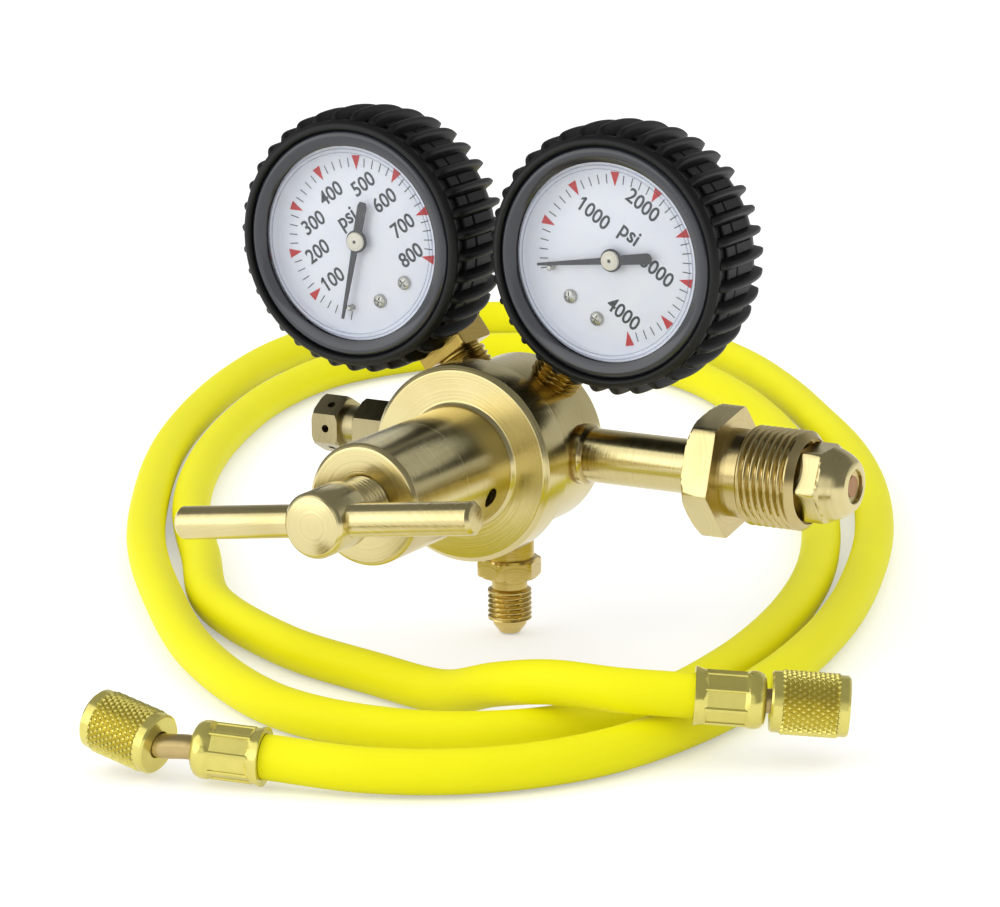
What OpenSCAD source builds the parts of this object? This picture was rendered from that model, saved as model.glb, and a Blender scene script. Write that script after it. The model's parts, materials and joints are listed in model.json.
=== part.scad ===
// Gas cylinder pressure regulator with two booted gauges, and its loose charging hose.
// Millimetres. +Z is up, the adjusting screw points to -Y and the cylinder inlet to +X.
// The regulator stands on the tip of its outlet, at z = 0.

/* [Body] */
// Radius of the valve body
body_r = 21.8; // [18:0.1:30]
// Distance from the port axis back to the rear face of the body
body_back = 10.5; // [8:0.5:20]
// Distance from the port axis forward to the shoulder that the bonnet closes on
body_front = 14.5; // [12:0.5:20]
// Length of the threaded front of the body, inside the bonnet
body_spigot = 4; // [3:0.5:6]
// Edge break on the rear rim of the body
body_chamfer = 1.2; // [0.3:0.1:3]

/* [Bonnet] */
// Radius of the bonnet flange
flange_r = 24.8; // [22:0.1:34]
// Thickness of the bonnet flange
flange_t = 10; // [8:0.5:14]
// Radius of the spring housing
bonnet_r = 15; // [14:0.1:20]
// Length of the spring housing in front of the flange
bonnet_len = 46; // [40:1:60]
// Radius of the spring bore
spring_bore_r = 11; // [10:0.1:13]
// Length of the thread that the adjusting screw runs in
screw_nut_len = 8; // [6:0.5:12]
// Diameter of the vent hole in the side of the spring housing
vent_d = 5; // [3:0.5:6]
// Distance of the vent hole in front of the flange
vent_offset = 9.5; // [5:0.5:20]
// Angle of the vent hole below the inlet side
vent_angle = 18; // [0:1:90]

/* [Adjusting screw] */
// Outside radius of the screw thread
screw_r = 7.1; // [5:0.1:8]
// Radius of the round head
head_r = 8; // [7.5:0.1:10]
// Length of the round head
head_len = 13.5; // [11:0.5:18]
// Gap between the head and the bonnet with the screw backed out
screw_gap = 9.5; // [9.2:0.1:14]
// Diameter of the cross bar
bar_d = 8; // [6:0.5:10]
// Length of the cross bar
bar_len = 82; // [60:1:100]
// Angle of the cross bar from level
bar_angle = 7.5; // [0:0.5:45]
// Distance from the face of the head to the axis of the cross bar
bar_inset = 6.5; // [5.5:0.5:9]

/* [Valve] */
// Thickness of the diaphragm
diaphragm_t = 1.2; // [0.8:0.1:2]
// Thickness of the slip ring that clamps the diaphragm
slip_ring_t = 1.5; // [1:0.1:2]
// Radius of the diaphragm plate
plate_r = 10; // [8:0.1:10.5]
// Thickness of the diaphragm plate
plate_t = 2.5; // [1.5:0.1:4]
// Wire diameter of the range spring
range_wire_d = 2.6; // [1.5:0.1:3]
// Number of coils of the range spring
range_coils = 7; // [4:1:10]
// Thickness of the spring button
button_t = 4; // [3:0.5:5]
// Radius of the orifice in the seat nozzle
orifice_r = 1.5; // [1.4:0.1:2]
// Wire diameter of the valve spring
valve_wire_d = 0.8; // [0.5:0.1:1]

/* [Inlet] */
// Radius of the inlet pipe
pipe_r = 6.75; // [6:0.05:8]
// Bore radius of the inlet nipple
inlet_bore_r = 2.6; // [2:0.1:3]
// Distance from the body axis to the back of the cylinder nut
nut_start = 56; // [45:1:70]
// Size of the cylinder nut across its flats
nut_af = 28.6; // [26:0.1:32]
// Thickness of the hexagon of the cylinder nut
nut_hex_t = 7.7; // [6:0.1:10]
// Length of the smooth neck behind the thread
nut_neck_len = 5.3; // [4:0.1:8]
// Outside radius of the cylinder thread
cyl_thread_r = 12.25; // [12.2:0.01:12.3]
// Length of the cylinder thread with its end chamfer
cyl_thread_len = 15.3; // [12:0.1:18]
// Size of the nipple's hexagon across its flats
nipple_af = 17.5; // [16:0.1:18.5]
// Length of the nipple's hexagon outside the nut
nipple_hex_len = 5.2; // [4:0.1:8]
// Length of the rounded nose
nose_len = 6.6; // [5:0.1:9]
// Radius of the flat end of the nose
nose_end_r = 5.2; // [4:0.1:6]

/* [Outlet] */
// Radius of the round shank above the outlet hexagon
outlet_shank_r = 6.3; // [5:0.1:7]
// Length of the round shank below the body
outlet_shank_len = 6.2; // [4:0.1:10]
// Size of the outlet hexagon across its flats
outlet_af = 14.3; // [13:0.1:16]
// Height of the outlet hexagon
outlet_hex_h = 5.5; // [4:0.1:8]
// Radius of the neck between the hexagon and the thread
outlet_neck_r = 4.5; // [4:0.1:5]
// Length of that neck
outlet_neck_len = 3.5; // [2:0.1:6]
// Outside radius of the flare thread
flare_thread_r = 5.55; // [5.5:0.01:5.6]
// Length of the flare thread
flare_thread_len = 8.2; // [6:0.1:10]
// Length of the plain flare nose
flare_nose_len = 3.3; // [2.5:0.1:4]
// Bore radius of the outlet
outlet_bore_r = 2.2; // [1.5:0.1:2.5]

/* [Relief valve] */
// Size of the relief valve body across its flats
relief_af = 13; // [12:0.1:15]
// Distance from the body axis to the end of the relief valve hexagon
relief_hex_end = 42; // [36:0.5:46]
// Radius of the relief valve neck
relief_neck_r = 5.2; // [4.5:0.1:5.5]
// Length of the neck in view
relief_neck_len = 4.5; // [3:0.1:6]
// Length of the hexagonal cap
relief_cap_len = 7.5; // [6:0.1:9]
// Radius of the vent hole in each flat of the cap
relief_hole_r = 1; // [0.6:0.1:1.3]

/* [Gauges] */
// Distance from the body axis to the centre of each dial
gauge_reach = 62.6; // [58:0.1:75]
// Lean of the left gauge from upright
tilt_left = 36.5; // [34:0.5:45]
// Lean of the right gauge from upright
tilt_right = 34; // [34:0.5:45]
// Distance of the dials in front of the port axis
dial_front = 8.5; // [6:0.5:12]
// Outer radius of the gauge case
case_r = 26.2; // [24:0.1:28]
// Wall of the gauge case
case_wall = 1.2; // [0.8:0.1:2]
// Depth of the case behind the dial
case_depth = 19; // [17:0.5:24]
// Depth of the lens in front of the dial
lens_front = 5.2; // [4:0.1:7]
// Thickness of the lens
lens_t = 1.6; // [1:0.1:2.5]
// Width of the bezel's lip over the lens
bezel_lip_w = 1.6; // [1:0.1:3]
// Wall of the bezel ring
bezel_wall = 1.15; // [0.8:0.05:2]
// Depth of the stem inside the case
stem_inside = 4; // [3:0.5:5]
// Thickness of the printed dial
dial_t = 0.6; // [0.4:0.1:1]
// Gap between the tip of the pointer and the wall of the case
pointer_gap = 4.4; // [4:0.1:9]
// Length of the counterweight behind the pivot
pointer_tail = 10.5; // [6:0.1:12]
// Radius of the cap on the pointer's pivot
pointer_cap_r = 2.4; // [1.5:0.1:3]
// Width of the wrench flats on the gauge stem
stem_flat = 14; // [12.8:0.1:15]
// Length of the wrench flats below the left gauge's case
stem_block_left = 9.8; // [6:0.1:11]
// Length of the wrench flats below the right gauge's case
stem_block_right = 5.6; // [5:0.1:11]
// Thread radius of the gauge stem
stem_thread_r = 6.5; // [6:0.1:6.8]
// Distance from the dial back to the stem axis
stem_back = 11.5; // [10:0.5:13]

/* [Gauge boots] */
// Wall of the boot round the bezel, under its fins
boot_wall = 2.8; // [2.4:0.1:4]
// Height of the front ring of the boot above that wall
boot_ring_h = 1; // [0.5:0.1:1.5]
// Height of the fins above that wall
fin_h = 3.3; // [2:0.1:4.5]
// Number of fins round the boot
fin_count = 36; // [24:1:44]
// Width of one fin at its root
fin_w = 2.4; // [1.5:0.1:3]
// Width of one fin at its crest
fin_crest_w = 0.6; // [0.4:0.1:1]
// Thickness of the back of the boot
boot_back_t = 1.5; // [1:0.1:3]
// Radius of the hole in the back of the boot
boot_hole_r = 18; // [10:0.5:22]
// Rounding of the back edge of the boot
boot_round = 6; // [2:0.5:7]

/* [Hose] */
// Outside diameter of the hose
hose_d = 10.5; // [9:0.5:13]
// Radius of the crimped ferrules
ferrule_r = 6.7; // [6:0.1:8]
// Length of the crimped ferrules
ferrule_len = 16.5; // [12:0.5:22]
// Radius of the tube between a ferrule and its nut
spigot_r = 2.85; // [2.2:0.05:3]
// Outside radius of the knurled coupling nuts
coupling_r = 7.5; // [7:0.1:9]
// Length of the knurled coupling nuts
coupling_len = 18; // [16:0.5:22]
// Thread radius inside the coupling nuts
coupling_bore_r = 5.05; // [5:0.01:5.1]
// Length of the thread inside the coupling nuts
coupling_thread_len = 8; // [6:0.5:9]

/* [Hidden] */
// Fine facet count of the round forms
$fn = 64;
// Running gap between pieces that turn or slide on each other
gap = 0.3;
// Close gap of a thread that runs
fit = 0.08;

// Steps in one turn of the range spring
spring_steps = 10;

// Stations along the body axis, measured from the port axis, front is negative
y_shoulder = -body_front;
y_spigot = y_shoulder - body_spigot;
y_flange = y_shoulder - flange_t;
y_diaphragm = y_spigot - diaphragm_t;
y_slip = y_diaphragm - slip_ring_t;
y_plate = y_diaphragm - plate_t;
y_bonnet = y_flange - bonnet_len;
y_bore_end = y_bonnet + screw_nut_len;
y_tip = y_bore_end + 1;
y_button = y_tip + button_t;
y_head = y_bonnet - screw_gap;
y_face = y_head - head_len;
y_bar = y_face + bar_inset;
spring_mean_r = spring_bore_r - range_wire_d / 2 - 1;
spring_seat_r = spring_mean_r * cos(180 / spring_steps) - range_wire_d / 2 - gap;
rim_r = body_r - 1;
seal_r = rim_r - 1;

// Stations along the inlet
x_hex_end = nut_start + nut_hex_t;
x_thread = x_hex_end + nut_neck_len;
x_nut_end = x_thread + cyl_thread_len;
x_nipple_hex = x_nut_end + nipple_hex_len;
x_nose = x_nipple_hex + nose_len;
nut_shoulder = x_nut_end - 6;
collar_h = 0.9;
collar_start = body_r - 1.6;

// Stations below the body axis
z_shank = body_r + outlet_shank_len;
z_hex = z_shank + outlet_hex_h;
z_neck = z_hex + outlet_neck_len;
z_thread = z_neck + flare_thread_len;
axis_h = z_thread + flare_nose_len;

// Stations of the relief valve, measured to the left
d_neck = relief_hex_end + relief_neck_len;
d_cap = d_neck + relief_cap_len;
relief_bore_r = 3.4;
relief_seat = 30;

// Gauge stations, measured back from the dial
bezel_r = case_r + bezel_wall;
bezel_open_r = case_r - bezel_lip_w;
pointer_len = case_r - case_wall - pointer_gap;
bourdon_r = case_r - 7.7;
bezel_lip = 1;
pointer_rest = -131.5;
boot_in_r = bezel_r + 0.05;
boot_r = boot_in_r + boot_wall;
fin_tip_r = boot_r + fin_h;
boot_back = case_depth + boot_back_t;
stem_end = gauge_reach - body_r + 3.5;

// The regulator's box is centred on the origin
reach_left = gauge_reach * sin(tilt_left) + fin_tip_r;
nut_turn = 11;
reach_back = max(boot_back + 1.4 - dial_front, nut_af / sqrt(3) * cos(nut_turn));
origin_x = (x_nose - reach_left) / 2;
origin_y = (reach_back + y_face) / 2;

// Hose route: the centreline from the left ferrule to the right one
hose_r = hose_d / 2;
lay = hose_r;
route = [
  [2, -100, 6.9], [26, -94, 5.6], [48, -81, lay], [64, -60, lay], [72, -32, lay],
  [74, 2, lay], [71, 36, lay], [63, 75, lay], [50, 116, lay], [34, 156, lay],
  [13, 197, lay], [-10, 233, lay], [-36, 266, lay], [-63, 298, lay], [-94, 328, lay],
  [-132, 352, lay], [-172, 360, lay], [-206, 344, lay], [-225, 310, lay], [-227, 270, lay],
  [-219, 230, lay], [-205, 188, lay], [-186, 144, lay], [-161, 98, lay], [-132, 52, lay],
  [-98, 9, lay], [-60, -32, lay], [-20, -60, lay], [15, -64, lay], [42, -50, lay],
  [57, -22, lay], [59, 16, lay], [53, 60, lay], [40, 106, lay], [20, 152, lay],
  [-5, 197, lay], [-35, 241, lay], [-70, 281, lay], [-108, 310, lay], [-148, 318, lay],
  [-181, 300, lay], [-199, 264, lay], [-198, 224, lay], [-186, 180, lay], [-167, 134, lay],
  [-142, 89, lay], [-112, 48, lay], [-83, 10, lay], [-46, -15, lay], [-14, -26, lay],
  [10, -34, 6.2], [30, -43, 13], [47, -47.5, 17], [64, -46, 17], [79, -38, 15.7]];
// Seat of the tube's flange and gasket inside a coupling nut
seat_len = 4;
seat = coupling_len - coupling_thread_len - seat_len;
seat_r = coupling_bore_r - 0.6;
flange_len = 1.7;

hose_rings = 78;
hose_sides = 10;
left_nut_base = [-22.5, -106, 7.8];
left_nut_dir = unit([-19.3, 1.2, 4]);
hose_start_dir = unit(route[1] - route[0]);
hose_end_dir = unit(route[len(route) - 1] - route[len(route) - 2]);

brass = [0.80, 0.66, 0.35];
gold_brass = [0.84, 0.70, 0.30];
steel = [0.72, 0.72, 0.70];
rubber = [0.05, 0.05, 0.055];
dark = [0.16, 0.16, 0.17];
white = [0.93, 0.94, 0.96];
clear = [0.85, 0.90, 0.93, 0.35];
red_steel = [0.55, 0.50, 0.42];
yellow = [1.00, 0.95, 0.06];

// ---------- shared shapes ----------

function unit(v) = v / norm(v);

// Point on the smooth curve through a list of points, u runs from 0 to the last index
function on_curve(p, u) =
  let (last = len(p) - 1)
  let (i = min(floor(u), last - 1))
  let (t = u - i)
  let (b = p[i])
  let (c = p[i + 1])
  let (a = i > 0 ? p[i - 1] : 2 * b - c)
  let (d = i + 2 <= last ? p[i + 2] : 2 * c - b)
  0.5 * (2 * b + (c - a) * t + (2 * a - 5 * b + 4 * c - d) * t * t
    + (3 * b - 3 * c + d - a) * t * t * t);

// Directions along a list of points
function tangents(p) =
  let (last = len(p) - 1)
  [for (i = [0:last]) unit(p[min(i + 1, last)] - p[max(i - 1, 0)])];

// Side directions carried along the path without twisting
function carry(t, i, n) =
  i >= len(t) ? [] : let (m = unit(n - (n * t[i]) * t[i])) concat([m], carry(t, i + 1, m));

// One closed tube along the points p
module tube(p, r, sides) {
  t = tangents(p);
  n = carry(t, 0, abs(t[0].z) < 0.8 ? [0, 0, 1] : [1, 0, 0]);
  rings = [for (i = [0:len(p) - 1]) for (k = [0:sides - 1])
    let (a = 360 * (k + 0.5) / sides)
    p[i] + r * (cos(a) * n[i] + sin(a) * cross(t[i], n[i]))];
  walls = [for (i = [0:len(p) - 2]) for (k = [0:sides - 1])
    let (q = i * sides)
    let (e = (k + 1) % sides)
    for (f = [[q + k, q + e, q + sides + e], [q + k, q + sides + e, q + sides + k]]) f];
  top = (len(p) - 1) * sides;
  ends = concat([for (k = [1:sides - 2]) [0, k + 1, k]],
    [for (k = [1:sides - 2]) [top, top + k, top + k + 1]]);
  polyhedron(points = rings, faces = [for (f = concat(walls, ends)) [f[0], f[2], f[1]]]);
}

// Coil spring along +Z with closed end turns
module coil(mean_r, wire_d, length, coils, steps, sides) {
  rise = length - wire_d;
  tube([for (i = [0:coils * steps])
    let (s = i / (coils * steps))
    let (e = min(1, max(0, (s * coils - 0.5) / (coils - 1))))
    [mean_r * cos(360 * i / steps), mean_r * sin(360 * i / steps), wire_d / 2 + rise * e]],
    wire_d / 2, sides);
}

// Revolve about the body axis, points are [radius, y]
module rev_y(points) {
  rotate([-90, 0, 0]) rotate_extrude() polygon(points);
}

// Revolve about the inlet axis, points are [radius, x]
module rev_x(points) {
  rotate([0, 90, 0]) rotate_extrude() polygon(points);
}

// Revolve about the left-hand axis, points are [radius, distance to the left]
module rev_left(points) {
  rotate([0, -90, 0]) rotate_extrude() polygon(points);
}

// Revolve about the downward axis, points are [radius, distance down]
module rev_down(points) {
  rotate([180, 0, 0]) rotate_extrude() polygon(points);
}

// Hexagonal prism along +Z
module hexagon(af, h) {
  cylinder(r = af / sqrt(3), h = h, $fn = 6);
}

// Places children that are drawn about the crossing of the body and port axes
module on_axis() {
  translate([-origin_x, -origin_y, axis_h]) children();
}

// Places children that are drawn about the centre of a dial
module on_gauge(side) {
  lean = side < 0 ? -tilt_left : tilt_right;
  on_axis() rotate([0, lean, 0]) translate([0, -dial_front, gauge_reach]) children();
}

// Places children drawn along +Z at point p, pointing along d
module aim(p, d) {
  translate(p) rotate([0, acos(d.z), atan2(d.y, d.x)]) children();
}

// ---------- body and bonnet ----------

module body() {
  color(brass) on_axis() difference() {
    rev_y([[0, y_spigot], [rim_r, y_spigot], [rim_r, y_shoulder], [body_r, y_shoulder],
      [body_r, body_back - body_chamfer], [body_r - body_chamfer, body_back], [0, body_back]]);
    // chamber behind the diaphragm
    rev_y([[0, y_spigot - 1], [14, y_spigot - 1], [14, y_spigot + 2], [0, y_spigot + 2]]);
    // pocket of the seat nozzle and bore of the valve
    rev_y([[0, y_spigot], [5.5, y_spigot], [5.5, y_spigot + 7], [4.6, y_spigot + 7],
      [4.6, 5], [0, 5]]);
    // high pressure port from the inlet, and its counterbore for the pipe
    rotate([0, 90, 0]) cylinder(r = 2, h = body_r);
    rotate([0, 90, 0]) translate([0, 0, body_r - 8]) cylinder(r = pipe_r, h = 9);
    rotate([0, 90, 0]) translate([0, 0, collar_start]) cylinder(r = pipe_r + collar_h + gap, h = 9);
    // low pressure ports
    rev_left([[0, 15], [4.5, 15], [4.5, body_r + 1], [0, body_r + 1]]);
    rev_down([[0, 15], [5, 15], [5, body_r + 1], [0, body_r + 1]]);
    for (lean = [-tilt_left, tilt_right])
      rotate([0, lean, 0]) translate([0, stem_back - dial_front, body_r - 4])
        cylinder(r = stem_thread_r, h = 6);
  }
}

module bonnet() {
  color(brass) on_axis() difference() {
    rev_y([[0, y_bonnet], [bonnet_r - 1, y_bonnet], [bonnet_r, y_bonnet + 1],
      [bonnet_r, y_flange - 0.6], [bonnet_r + 0.6, y_flange], [flange_r - 1, y_flange],
      [flange_r, y_flange + 1], [flange_r, y_shoulder], [0, y_shoulder]]);
    // cup that takes the body
    rev_y([[0, y_slip], [rim_r, y_slip], [rim_r, y_shoulder + 1], [0, y_shoulder + 1]]);
    // spring bore
    rev_y([[0, y_bore_end], [spring_bore_r, y_bore_end], [spring_bore_r, y_slip + 1], [0, y_slip + 1]]);
    // threaded hole of the screw
    rev_y([[0, y_bonnet - 1], [screw_r + fit, y_bonnet - 1], [screw_r + fit, y_bore_end + 1],
      [0, y_bore_end + 1]]);
    // vent hole
    rotate([0, vent_angle, 0]) translate([0, y_flange - vent_offset, 0]) rotate([0, 90, 0])
      translate([0, 0, spring_bore_r - 2]) cylinder(d = vent_d, h = bonnet_r);
  }
}

module adjusting_screw() {
  color(brass) on_axis() difference() {
    rev_y([[0, y_face], [head_r - 1, y_face], [head_r, y_face + 1], [head_r, y_head - 0.4],
      [head_r - 0.4, y_head], [screw_r, y_head], [screw_r, y_tip - 1], [screw_r - 1, y_tip], [0, y_tip]]);
    translate([0, y_bar, 0]) rotate([0, 90 - bar_angle, 0])
      cylinder(d = bar_d, h = 4 * head_r, center = true);
  }
}

module handle_bar() {
  color(brass) on_axis() translate([0, y_bar, 0]) rotate([0, 90 - bar_angle, 0])
    translate([0, 0, -bar_len / 2]) rotate_extrude()
      polygon([[0, 0], [bar_d / 2 - 0.8, 0], [bar_d / 2, 0.8], [bar_d / 2, bar_len - 0.8],
        [bar_d / 2 - 0.8, bar_len], [0, bar_len]]);
}

module spring_button() {
  color(steel) on_axis() rev_y([[0, y_tip], [spring_bore_r - gap - 0.5, y_tip],
    [spring_bore_r - gap, y_tip + 0.5], [spring_bore_r - gap, y_button],
    [spring_seat_r, y_button], [spring_seat_r, y_button + 2], [0, y_button + 2]]);
}

module range_spring() {
  color(steel) on_axis() translate([0, y_button, 0]) rotate([-90, 0, 0])
    coil(spring_mean_r, range_wire_d, y_plate - y_button, range_coils, spring_steps, 6);
}

// ---------- valve ----------

module diaphragm_plate() {
  color(steel) on_axis() rev_y([[0, y_plate - 2], [spring_seat_r, y_plate - 2], [spring_seat_r, y_plate],
    [plate_r, y_plate], [plate_r, y_diaphragm], [0, y_diaphragm]]);
}

module diaphragm() {
  color(rubber) on_axis() rev_y([[0, y_diaphragm], [seal_r, y_diaphragm], [seal_r, y_spigot],
    [0, y_spigot]]);
}

module slip_ring() {
  color(steel) on_axis() rev_y([[spring_bore_r + 1, y_slip], [seal_r, y_slip], [seal_r, y_diaphragm],
    [spring_bore_r + 1, y_diaphragm]]);
}

module seat_nozzle() {
  color(brass) on_axis() rev_y([[orifice_r, y_spigot + 2], [5.5, y_spigot + 2], [5.5, y_spigot + 7],
    [orifice_r, y_spigot + 7]]);
}

module valve_poppet() {
  color(steel) on_axis() rev_y([[0, y_spigot], [orifice_r - 0.5, y_spigot],
    [orifice_r - 0.5, y_spigot + 7], [3.6, y_spigot + 7], [3.6, y_spigot + 10], [1.5, y_spigot + 10],
    [1.5, y_spigot + 12], [0, y_spigot + 12]]);
}

module valve_spring() {
  color(steel) on_axis() translate([0, y_spigot + 10, 0]) rotate([-90, 0, 0])
    coil(2.8, valve_wire_d, 5 - y_spigot - 10, 6, 8, 6);
}

// ---------- inlet ----------

module inlet_nipple() {
  corner = nipple_af / sqrt(3);
  color(brass) on_axis() difference() {
    union() {
      rev_x([[0, body_r - 8], [pipe_r, body_r - 8], [pipe_r, collar_start], [pipe_r + collar_h, collar_start],
        [pipe_r + collar_h, body_r + 1.8], [pipe_r, body_r + 2.4], [pipe_r, nut_shoulder],
        [0, nut_shoulder]]);
      // hexagon, its corners broken by the round nose
      intersection() {
        rotate([0, 90, 0]) translate([0, 0, nut_shoulder]) rotate([0, 0, 4])
          hexagon(nipple_af, x_nose - nut_shoulder);
        rev_x([[0, nut_shoulder], [corner + 0.2, nut_shoulder], [corner + 0.2, x_nipple_hex - 0.6],
          [corner - 1.2, x_nipple_hex + 1.2], [corner - 2.2, x_nose - 3.4], [nose_end_r + 1.4, x_nose - 1.2],
          [nose_end_r, x_nose], [0, x_nose]]);
      }
    }
    rotate([0, 90, 0]) cylinder(r = inlet_bore_r, h = 2 * x_nose);
  }
}

module inlet_nut() {
  hex_r = nut_af / sqrt(3);
  color(brass) on_axis() difference() {
    union() {
      intersection() {
        rotate([0, 90, 0]) translate([0, 0, nut_start]) rotate([0, 0, nut_turn + 30])
          hexagon(nut_af, nut_hex_t);
        rev_x([[0, nut_start], [nut_af / 2 - 0.2, nut_start], [hex_r + 0.2, nut_start + 1.4],
          [hex_r + 0.2, x_hex_end + 1], [0, x_hex_end + 1]]);
      }
      rev_x([[0, x_hex_end], [cyl_thread_r - 1.4, x_hex_end], [cyl_thread_r - 1.4, x_thread],
        [cyl_thread_r, x_thread + 1], [cyl_thread_r, x_nut_end - 1.6], [cyl_thread_r - 1.6, x_nut_end],
        [0, x_nut_end]]);
    }
    rev_x([[0, nut_start - 1], [pipe_r + gap, nut_start - 1], [pipe_r + gap, nut_shoulder - gap],
      [nipple_af / sqrt(3) + gap, nut_shoulder - gap], [nipple_af / sqrt(3) + gap, x_nut_end + 1],
      [0, x_nut_end + 1]]);
  }
}

module inlet_filter() {
  color(red_steel) on_axis() translate([x_nose - 8, 0, 0]) rotate([0, 90, 0])
    cylinder(r = inlet_bore_r, h = 7.2);
}

// ---------- outlet ----------

module outlet_fitting() {
  outlet_corner = outlet_af / sqrt(3) + 0.2;
  color(brass) on_axis() difference() {
    union() {
      rev_down([[0, 17], [5, 17], [5, body_r], [outlet_shank_r, body_r], [outlet_shank_r, z_shank],
        [0, z_shank]]);
      intersection() {
        translate([0, 0, -z_hex]) rotate([0, 0, 19]) hexagon(outlet_af, outlet_hex_h);
        rev_down([[0, z_shank], [outlet_af / 2 + 0.2, z_shank], [outlet_corner, z_shank + 0.8],
          [outlet_corner, z_hex - 0.8], [outlet_af / 2 + 0.2, z_hex], [0, z_hex]]);
      }
      rev_down([[0, z_hex], [outlet_neck_r, z_hex], [outlet_neck_r, z_neck],
        [flare_thread_r, z_neck + 0.6], [flare_thread_r, z_thread - 0.4], [flare_thread_r - 1.3, z_thread],
        [flare_thread_r - 1.3, z_thread + 1], [outlet_bore_r + 0.5, axis_h], [0, axis_h]]);
    }
    rev_down([[0, 16], [outlet_bore_r, 16], [outlet_bore_r, axis_h + 1], [0, axis_h + 1]]);
  }
}

// ---------- relief valve ----------

module relief_body() {
  corner = relief_af / sqrt(3);
  color(brass) on_axis() difference() {
    union() {
      rev_left([[0, 17], [4.5, 17], [4.5, body_r + 2.5], [0, body_r + 2.5]]);
      intersection() {
        rotate([0, -90, 0]) translate([0, 0, body_r + 2]) hexagon(relief_af, relief_hex_end - body_r - 2);
        rev_left([[0, body_r + 2], [corner - 0.6, body_r + 2], [corner + 0.2, body_r + 2.8],
          [corner + 0.2, relief_hex_end - 0.8], [corner - 0.6, relief_hex_end], [0, relief_hex_end]]);
      }
      rev_left([[0, relief_hex_end], [relief_neck_r, relief_hex_end], [relief_neck_r, d_neck], [0, d_neck]]);
    }
    rev_left([[0, 16], [1.5, 16], [1.5, relief_seat], [relief_bore_r, relief_seat],
      [relief_bore_r, d_neck + 1], [0, d_neck + 1]]);
  }
}

module relief_cap() {
  corner = relief_af / sqrt(3);
  color(brass) on_axis() difference() {
    intersection() {
      rotate([0, -90, 0]) translate([0, 0, d_neck]) hexagon(relief_af, relief_cap_len);
      rev_left([[0, d_neck], [corner - 0.7, d_neck], [corner + 0.2, d_neck + 0.8],
        [corner + 0.2, d_cap - 0.8], [corner - 0.7, d_cap], [0, d_cap]]);
    }
    rev_left([[0, d_neck - 1], [relief_bore_r, d_neck - 1], [relief_bore_r, d_cap - 1.5], [0, d_cap - 1.5]]);
    for (k = [0:5])
      rotate([60 * k + 30, 0, 0]) translate([-(d_neck + relief_cap_len / 2 - 0.3), 0, 0])
        cylinder(r = relief_hole_r, h = 2 * corner, $fn = 24);
  }
}

module relief_poppet() {
  color(steel) on_axis() rev_left([[0, relief_seat], [relief_bore_r - gap, relief_seat],
    [relief_bore_r - gap, relief_seat + 2.5], [1.4, relief_seat + 2.5], [1.4, relief_seat + 5],
    [0, relief_seat + 5]]);
}

module relief_spring() {
  color(steel) on_axis() rotate([0, -90, 0]) translate([0, 0, relief_seat + 2.5])
    coil(2.35, 0.8, d_cap - 1.5 - relief_seat - 2.5, 9, 8, 6);
}

// ---------- gauges, drawn about the centre of the dial, +Y goes back ----------

module gauge_stem(side) {
  stem_z = case_r + (side < 0 ? stem_block_left : stem_block_right);
  color(brass) on_gauge(side) translate([0, stem_back, 0]) difference() {
    union() {
      // wrench flats
      translate([-stem_flat / 2, -stem_flat / 2, -stem_z])
        cube([stem_flat, stem_flat, stem_z - case_r + stem_inside]);
      translate([0, 0, -stem_end]) cylinder(r1 = stem_thread_r - 0.6, r2 = stem_thread_r, h = 1);
      translate([0, 0, 1 - stem_end]) cylinder(r = stem_thread_r, h = stem_end - stem_z - 0.8);
    }
    translate([0, 0, -stem_end - 1]) cylinder(r = 1.5, h = stem_end);
  }
}

module gauge_case(side) {
  color(dark) on_gauge(side) difference() {
    rev_y([[0, case_depth], [case_r, case_depth], [case_r, lens_t - lens_front],
      [case_r - case_wall, lens_t - lens_front], [case_r - case_wall, case_depth - case_wall],
      [0, case_depth - case_wall]]);
    translate([-stem_flat / 2, stem_back - stem_flat / 2, -case_r - 1])
      cube([stem_flat, stem_flat, stem_inside + 2]);
  }
}

module gauge_bezel(side) {
  color(dark) on_gauge(side) rev_y([[bezel_open_r, -lens_front - bezel_lip],
    [bezel_r - 1, -lens_front - bezel_lip], [bezel_r, -lens_front], [bezel_r, 2.5], [case_r, 2.5],
    [case_r, -lens_front], [bezel_open_r, -lens_front]]);
}

module gauge_lens(side) {
  color(clear) on_gauge(side) rev_y([[0, -lens_front], [case_r, -lens_front],
    [case_r, lens_t - lens_front], [0, lens_t - lens_front]]);
}

module gauge_dial(side) {
  rim = case_r - case_wall;
  color(white) on_gauge(side) difference() {
    union() {
      rev_y([[0.9, 0], [rim - 1, 0], [rim - 0.6, lens_t - lens_front], [rim, lens_t - lens_front],
        [rim, dial_t], [0.9, dial_t]]);
      // stop pin, just short of the pointer at rest
      rotate([0, pointer_rest - 3.6, 0]) translate([0, -2.2, 17.5])
        rotate([-90, 0, 0]) cylinder(r = 0.6, h = 2.4);
    }
    for (a = [-16, 16])
      rotate([0, a, 0]) translate([0, -1, -16]) rotate([-90, 0, 0]) cylinder(r = 0.8, h = 3);
  }
}

module dial_screws(side) {
  color(steel) on_gauge(side) for (a = [-16, 16])
    rotate([0, a, 0]) translate([0, 0, -16]) rev_y([[0, -0.8], [1.3, -0.8], [1.8, -0.3], [1.8, 0],
      [0.8, 0], [0.8, 4], [0, 4]]);
}

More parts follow.
